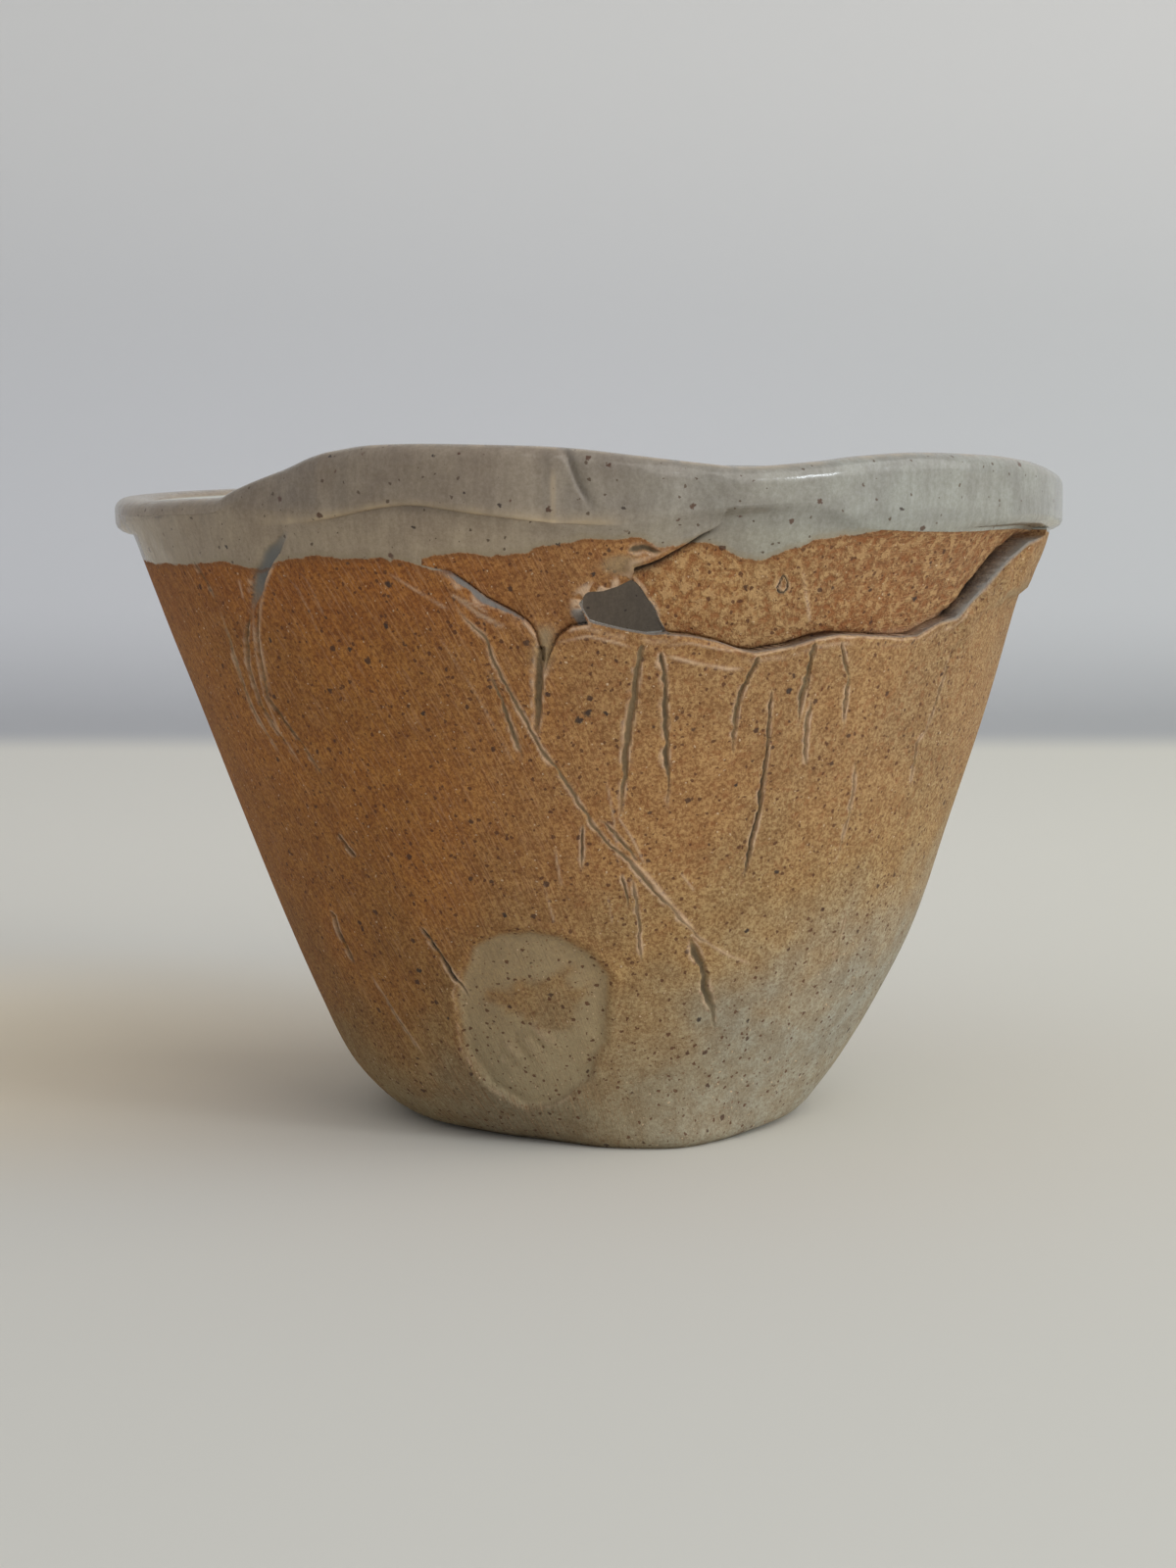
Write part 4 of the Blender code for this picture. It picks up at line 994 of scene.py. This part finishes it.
stoneware = bpy.data.materials.new("flashed_stoneware")
stoneware.use_nodes = True
tree = stoneware.node_tree
shader = tree.nodes["Principled BSDF"]
shader.inputs["Metallic"].default_value = 0.0
shader.inputs["IOR"].default_value = 1.5
place = add_node("ShaderNodeTexCoord", {}).outputs["Object"]
place = vector_math("MULTIPLY", place, (1000.0, 1000.0, 1000.0))
flat = add_node("ShaderNodeUVMap", {}, uv_map="sheet").outputs["UV"]
flat = vector_math("MULTIPLY", flat, (100.0, 100.0, 100.0))
axes = add_node("ShaderNodeSeparateXYZ", {0: place})
x, z = axes.outputs["X"], axes.outputs["Z"]

sand = grain(place, 3.2, 4.0, 0.75)
fine = grain(place, 6.5, 2.0, 0.6)
coarse = grain(place, 0.6, 3.0, 0.55)
cloud = grain(place, 0.10, 3.0, 0.5)

level = plus(plus(z, x, -0.28), calculated("SUBTRACT", cloud, 0.5), 16.0)
clay = blended(between(x, -18.0, 8.0), tone(164, 111, 50), tone(166, 130, 85))
clay = blended(between(x, 6.0, 34.0), clay, tone(158, 130, 91))
upper_left = times(between(z, 42.0, 47.0), between(x, 12.0, 2.0))
clay = shaded(upper_left, clay, (0.92, 0.84, 0.78))
low_clay = blended(between(x, -22.0, 8.0), tone(140, 108, 60), tone(165, 139, 95))
clay = blended(between(level, 30.0, 12.0, 0.0, 0.9), clay, low_clay)
foot_grey = blended(between(x, -24.0, -6.0), tone(168, 150, 107), tone(144, 132, 105))
foot_grey = blended(between(x, -2.0, 20.0), foot_grey, tone(160, 156, 140))
clay = blended(between(level, 19.0, 3.0), clay, foot_grey)
clay = shaded(between(cloud, 0.40, 0.62), clay, (1.10, 1.06, 1.00))
clay = blended(between(coarse, 0.38, 0.62), multiplied(clay, (0.86, 0.80, 0.74)), clay)
plain = between(level, 20.0, 3.0, 0.0, 0.65)
pale_sand = multiplied(clay, (1.22, 1.24, 1.24))
dark_sand = multiplied(clay, (0.64, 0.52, 0.42))
pale_sand = blended(plain, pale_sand, clay)
dark_sand = blended(plain, dark_sand, multiplied(clay, (0.92, 0.90, 0.88)))
clay = blended(between(sand, 0.38, 0.62), dark_sand, pale_sand)

mottle = times(between(grain(place, 1.5, 3.0, 0.6), 0.54, 0.64), between(x, -14.0, 4.0, 0.4, 1.0))
mottle = times(mottle, between(level, 14.0, 24.0))
down_strokes = strokes(flat, 3.2, 0.20, 62.0)
left_side = between(x, 8.0, -8.0)
drawn = times(between(down_strokes, 0.52, 0.64), left_side)
scored = times(between(down_strokes, 0.46, 0.36), left_side)
clay = layered(
    clay, ((mottle, 0.38, (140, 84, 42)), (drawn, 0.34, (196, 148, 104)), (scored, 0.40, (126, 74, 36))),
)

on_panel = mark("panel")
clay = shaded(times(on_panel, between(x, 12.0, 24.0)), clay, (0.90, 0.75, 0.66))
blobs = grain(place, 1.3, 3.0, 0.6)
ochre = times(between(blobs, 0.50, 0.60), on_panel)
rusty = times(between(blobs, 0.46, 0.36), on_panel)
folds = strokes(flat, 2.6, 0.30, -8.0)
folds = times(times(between(folds, 0.50, 0.62), on_panel), between(x, 20.0, 27.0))
iron = speckled(1.50, 0.25, 0.78)
grog = speckled(1.9, 0.17, 0.5)
clay = layered(
    clay,
    (
        (ochre, 0.55, (196, 158, 108)),
        (rusty, 0.60, (140, 82, 38)),
        (folds, 0.40, (190, 146, 98)),
        (mark("pressed"), 0.66, (170, 152, 117)),
        (grog, 0.75, (216, 186, 150)),
        (speckled(2.7, 0.26, 0.55), 0.50, (112, 66, 34)),
        (iron, 0.82, (88, 50, 26)),
        (speckled(0.62, 0.17, 0.42), 0.85, (72, 46, 32)),
        (mark("khaki"), 0.80, (154, 136, 104)),
        # This pale layer is partly pale crumbs and partly painted highlight on lit edges and ridges.
        (mark("pale_and_highlight"), 0.75, (212, 180, 148)),
        (mark("torn"), 0.90, (124, 124, 120)),
        # The darkest layer is painted shade in the gaps, cracks and folds.
        (mark("gap_shade"), 0.92, (48, 42, 38)),
    ),
)

coat = mark("glaze")
depth = plus(coat, calculated("SUBTRACT", coarse, 0.5), 0.8)
depth = plus(depth, calculated("SUBTRACT", sand, 0.5), 0.3)
glazed = between(depth, -0.08, 0.08)
grey = blended(between(x, 26.0, -12.0), tone(150, 151, 143), tone(156, 140, 118))
upper_front = times(between(z, 53.4, 55.0), between(x, 17.0, 4.0))
grey = shaded(upper_front, grey, (0.82, 0.83, 0.86))
under_ledge = times(between(z, 53.6, 52.0), between(x, 0.0, 20.0, 0.5, 1.0))
grey = shaded(under_ledge, grey, (1.12, 1.11, 1.06))
grey = shaded(between(grain(place, 0.28, 3.0, 0.55), 0.36, 0.66), grey, (0.86, 0.84, 0.84))
wipes = between(strokes(flat, 3.0, 0.8, 90.0), 0.36, 0.64)
wiped = blended(wipes, (0.93, 0.92, 0.92, 1.0), (1.05, 1.05, 1.06, 1.0))
grey = blended(1.0, grey, wiped, "MULTIPLY")
grey = blended(
    between(sand, 0.3, 0.7), multiplied(grey, (0.88, 0.86, 0.82)), multiplied(grey, (1.08, 1.08, 1.08)),
)
grey = layered(
    grey,
    (
        (between(depth, 0.7, 0.05), 0.55, (146, 130, 102)),
        (mark("thin"), 1.0, (184, 162, 130)),
        (mark("khaki"), 0.5, (116, 110, 98)),
        # This pale layer is partly pale crumbs and partly painted highlight on lit edges and ridges.
        (mark("pale_and_highlight"), 0.35, (190, 172, 144)),
        (mark("torn"), 0.85, (108, 110, 108)),
        # The dark layer is painted shade in the gaps, cracks and folds.
        (mark("gap_shade"), 0.85, (62, 54, 46)),
        (speckled(1.10, 0.17, 0.72), 0.85, (84, 66, 50)),
        (speckled(0.45, 0.13, 0.45), 0.85, (88, 58, 44)),
    ),
)
inner = between(coat, 6.0, 8.0)
# Painted light and shade inside the cup: the glaze is painted lighter near the rim, where light falls, and
# painted dark lower down, where the inside lies in shade.
grey = blended(times(inner, between(z, 50.0, 53.0)), grey, tone(188, 188, 180))
grey = shaded(times(inner, between(z, 53.0, 48.5)), grey, (0.37, 0.32, 0.26))
edge_tint = between(calculated("ABSOLUTE", plus(depth, 0.16)), 0.30, 0.0, 0.0, 0.5)
clay = blended(edge_tint, clay, tone(124, 78, 40))
skin = blended(glazed, clay, grey)
roaming = add_node("ShaderNodeTexNoise", {"Vector": place, "Scale": 3.2, "Detail": 1.0}).outputs["Color"]
roaming = vector_math("SUBTRACT", roaming, (0.5, 0.5, 0.5))
roaming = vector_math("MULTIPLY_ADD", roaming, (0.5, 0.5, 0.5), place)
rusty_mask = spotted(roaming, rusty_spots)
dark_mask = spotted(roaming, dark_spots)
skin = layered(skin, ((rusty_mask, 0.88, (78, 48, 30)), (dark_mask, 0.90, (56, 44, 38))))
tree.links.new(skin, shader.inputs["Base Color"])
tree.links.new(between(glazed, 0.0, 1.0, 0.88, 0.17), shader.inputs["Roughness"])

rough = plus(times(sand, 0.085), fine, 0.035)
for effect, height_share in (
    (coarse, 0.07), (grog, 0.03), (drawn, 0.035), (scored, -0.03), (ochre, 0.05), (rusty, -0.04),
    (folds, 0.05), (iron, -0.02),
):
    rough = plus(rough, effect, height_share)
smooth_skin = plus(times(grain(place, 0.30, 2.0, 0.5), 0.16), sand, 0.010)
relief = plus(times(rough, calculated("SUBTRACT", 1.0, glazed)), times(smooth_skin, glazed))
bump = add_node("ShaderNodeBump", {"Height": relief, "Strength": 1.0, "Distance": 0.001})
tree.links.new(bump.outputs["Normal"], shader.inputs["Normal"])
cup.data.materials.append(stoneware)

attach(cup, "root")
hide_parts("cracked_cup")

# The plain pale floor and the wall behind it, joined by a soft sweep that stands further back than any
# camera. The tone of the wall begins where the photograph shows it: it follows the slope of the line
# of sight from the photograph's camera.
CAMERA_DISTANCE = 0.310
CAMERA_HEIGHT = 0.064
NEAREST_TONE = 0.300
bpy.ops.object.select_all(action="DESELECT")
bpy.ops.mesh.primitive_plane_add(size=1.0)
floor = bpy.context.object
floor.name = "pale_floor"
bpy.ops.object.mode_set(mode="EDIT")
bpy.ops.transform.resize(value=(3.0, 1.44, 1.0))
bpy.ops.transform.translate(value=(0.0, -0.36, 0.0))
bpy.ops.mesh.select_all(action="DESELECT")
bpy.ops.object.mode_set(mode="OBJECT")
for line in floor.data.edges:
    line.select = all(floor.data.vertices[i].co.y > 0.0 for i in line.vertices)
for vertex in floor.data.vertices:
    vertex.select = vertex.co.y > 0.0
bpy.ops.object.mode_set(mode="EDIT")
bpy.ops.mesh.select_mode(type="EDGE")
SWEEP_RADIUS = 0.080
SWEEP_STEPS = 12
length = 2.0 * SWEEP_RADIUS * math.sin(math.radians(45.0 / SWEEP_STEPS))
for step in range(SWEEP_STEPS):
    turn = math.radians(90.0 * (step + 0.5) / SWEEP_STEPS)
    rise = (0.0, length * math.cos(turn), length * math.sin(turn))
    bpy.ops.mesh.extrude_region_move(TRANSFORM_OT_translate={"value": rise})
bpy.ops.mesh.extrude_region_move(TRANSFORM_OT_translate={"value": (0.0, 0.0, 1.0)})
bpy.ops.object.mode_set(mode="OBJECT")
bpy.ops.object.shade_smooth_by_angle(angle=math.radians(30.0))
plaster = bpy.data.materials.new("pale_plaster")
plaster.use_nodes = True
plaster.node_tree.nodes["Principled BSDF"].inputs["Roughness"].default_value = 0.9
tree = plaster.node_tree
room = add_node("ShaderNodeTexCoord", {}).outputs["Object"]
axes = add_node("ShaderNodeSeparateXYZ", {0: room}).outputs
# The floor is painted lighter towards the back: painted light that evens out the window light's fall-off.
floor_tone = blended(between(axes["Y"], -0.12, 0.20), (0.65, 0.635, 0.575, 1.0), (0.775, 0.75, 0.675, 1.0))
drop = calculated("SUBTRACT", axes["Z"], CAMERA_HEIGHT)
reach = calculated("MAXIMUM", calculated("ADD", axes["Y"], CAMERA_DISTANCE), NEAREST_TONE)
sight = calculated("DIVIDE", drop, reach)
# Painted shade on the wall: it is darker just above the floor, lighter higher up, and a little darker at the
# lower right.
wall_tone = blended(between(sight, -0.104, -0.060), (0.485, 0.49, 0.50, 1.0), (0.645, 0.648, 0.655, 1.0))
wall_tone = blended(between(sight, -0.02, 0.11), wall_tone, (0.725, 0.718, 0.70, 1.0))
room_tone = blended(between(sight, -0.1055, -0.0985), floor_tone, wall_tone)
low_right_shade = times(between(axes["X"], -0.02, 0.12), between(sight, 0.105, -0.054))
room_tone = shaded(low_right_shade, room_tone, (0.97, 0.98, 0.96))
# Painted light: a warm glow on the floor beside the cup's left side stands in for light bounced off the cup.
painted_bounce_distance = add_node("ShaderNodeVectorMath", {0: room, 1: (-0.066, 0.020, 0.0)}, operation="DISTANCE")
room_tone = shaded(between(painted_bounce_distance.outputs["Value"], 0.075, 0.010), room_tone, (1.22, 1.10, 0.92))
tree.links.new(room_tone, tree.nodes["Principled BSDF"].inputs["Base Color"])
floor.data.materials.append(plaster)

# Soft window light from the upper right, a small bright pane that shines in the glaze, and an even
# pale sky.
def area_light(name, place, aim, size, energy, colour):
    """A rectangular lamp at a place, turned towards another."""
    bpy.ops.object.light_add(type="AREA", location=place)
    lamp = bpy.context.object
    lamp.name = name
    lamp.data.shape = "RECTANGLE"
    lamp.data.size, lamp.data.size_y = size
    lamp.data.energy = energy
    lamp.data.color = colour
    lamp.rotation_euler = (Vector(aim) - lamp.location).to_track_quat("-Z", "Y").to_euler()


area_light("window_light", (0.46, -0.25, 0.36), (0.0, 0.0, 0.03), (1.00, 0.75), 2.9, (1.0, 0.97, 0.92))
area_light("window_pane", (0.478, -0.341, 0.190), (0.0, -0.03, 0.055), (0.13, 0.040), 0.62, (0.85, 0.93, 1.0))
sky = bpy.data.worlds.new("pale_sky")
sky.use_nodes = True
sky.node_tree.nodes["Background"].inputs["Color"].default_value = (0.87, 0.90, 0.97, 1.0)
sky.node_tree.nodes["Background"].inputs["Strength"].default_value = 0.58
bpy.context.scene.world = sky

# The camera, a little above the rim and looking slightly down.
CAMERA_DIP = 6.524
camera_place = (0.0, -CAMERA_DISTANCE, CAMERA_HEIGHT)
bpy.ops.object.camera_add(location=camera_place, rotation=(math.radians(90.0 - CAMERA_DIP), 0.0, 0.0))
camera = bpy.context.object
camera.name = "front_camera"
camera.data.sensor_width = 36.0
camera.data.lens = 80.08
camera.data.clip_start = 0.01
bpy.context.scene.camera = camera
bpy.context.scene.view_settings.view_transform = "Standard"
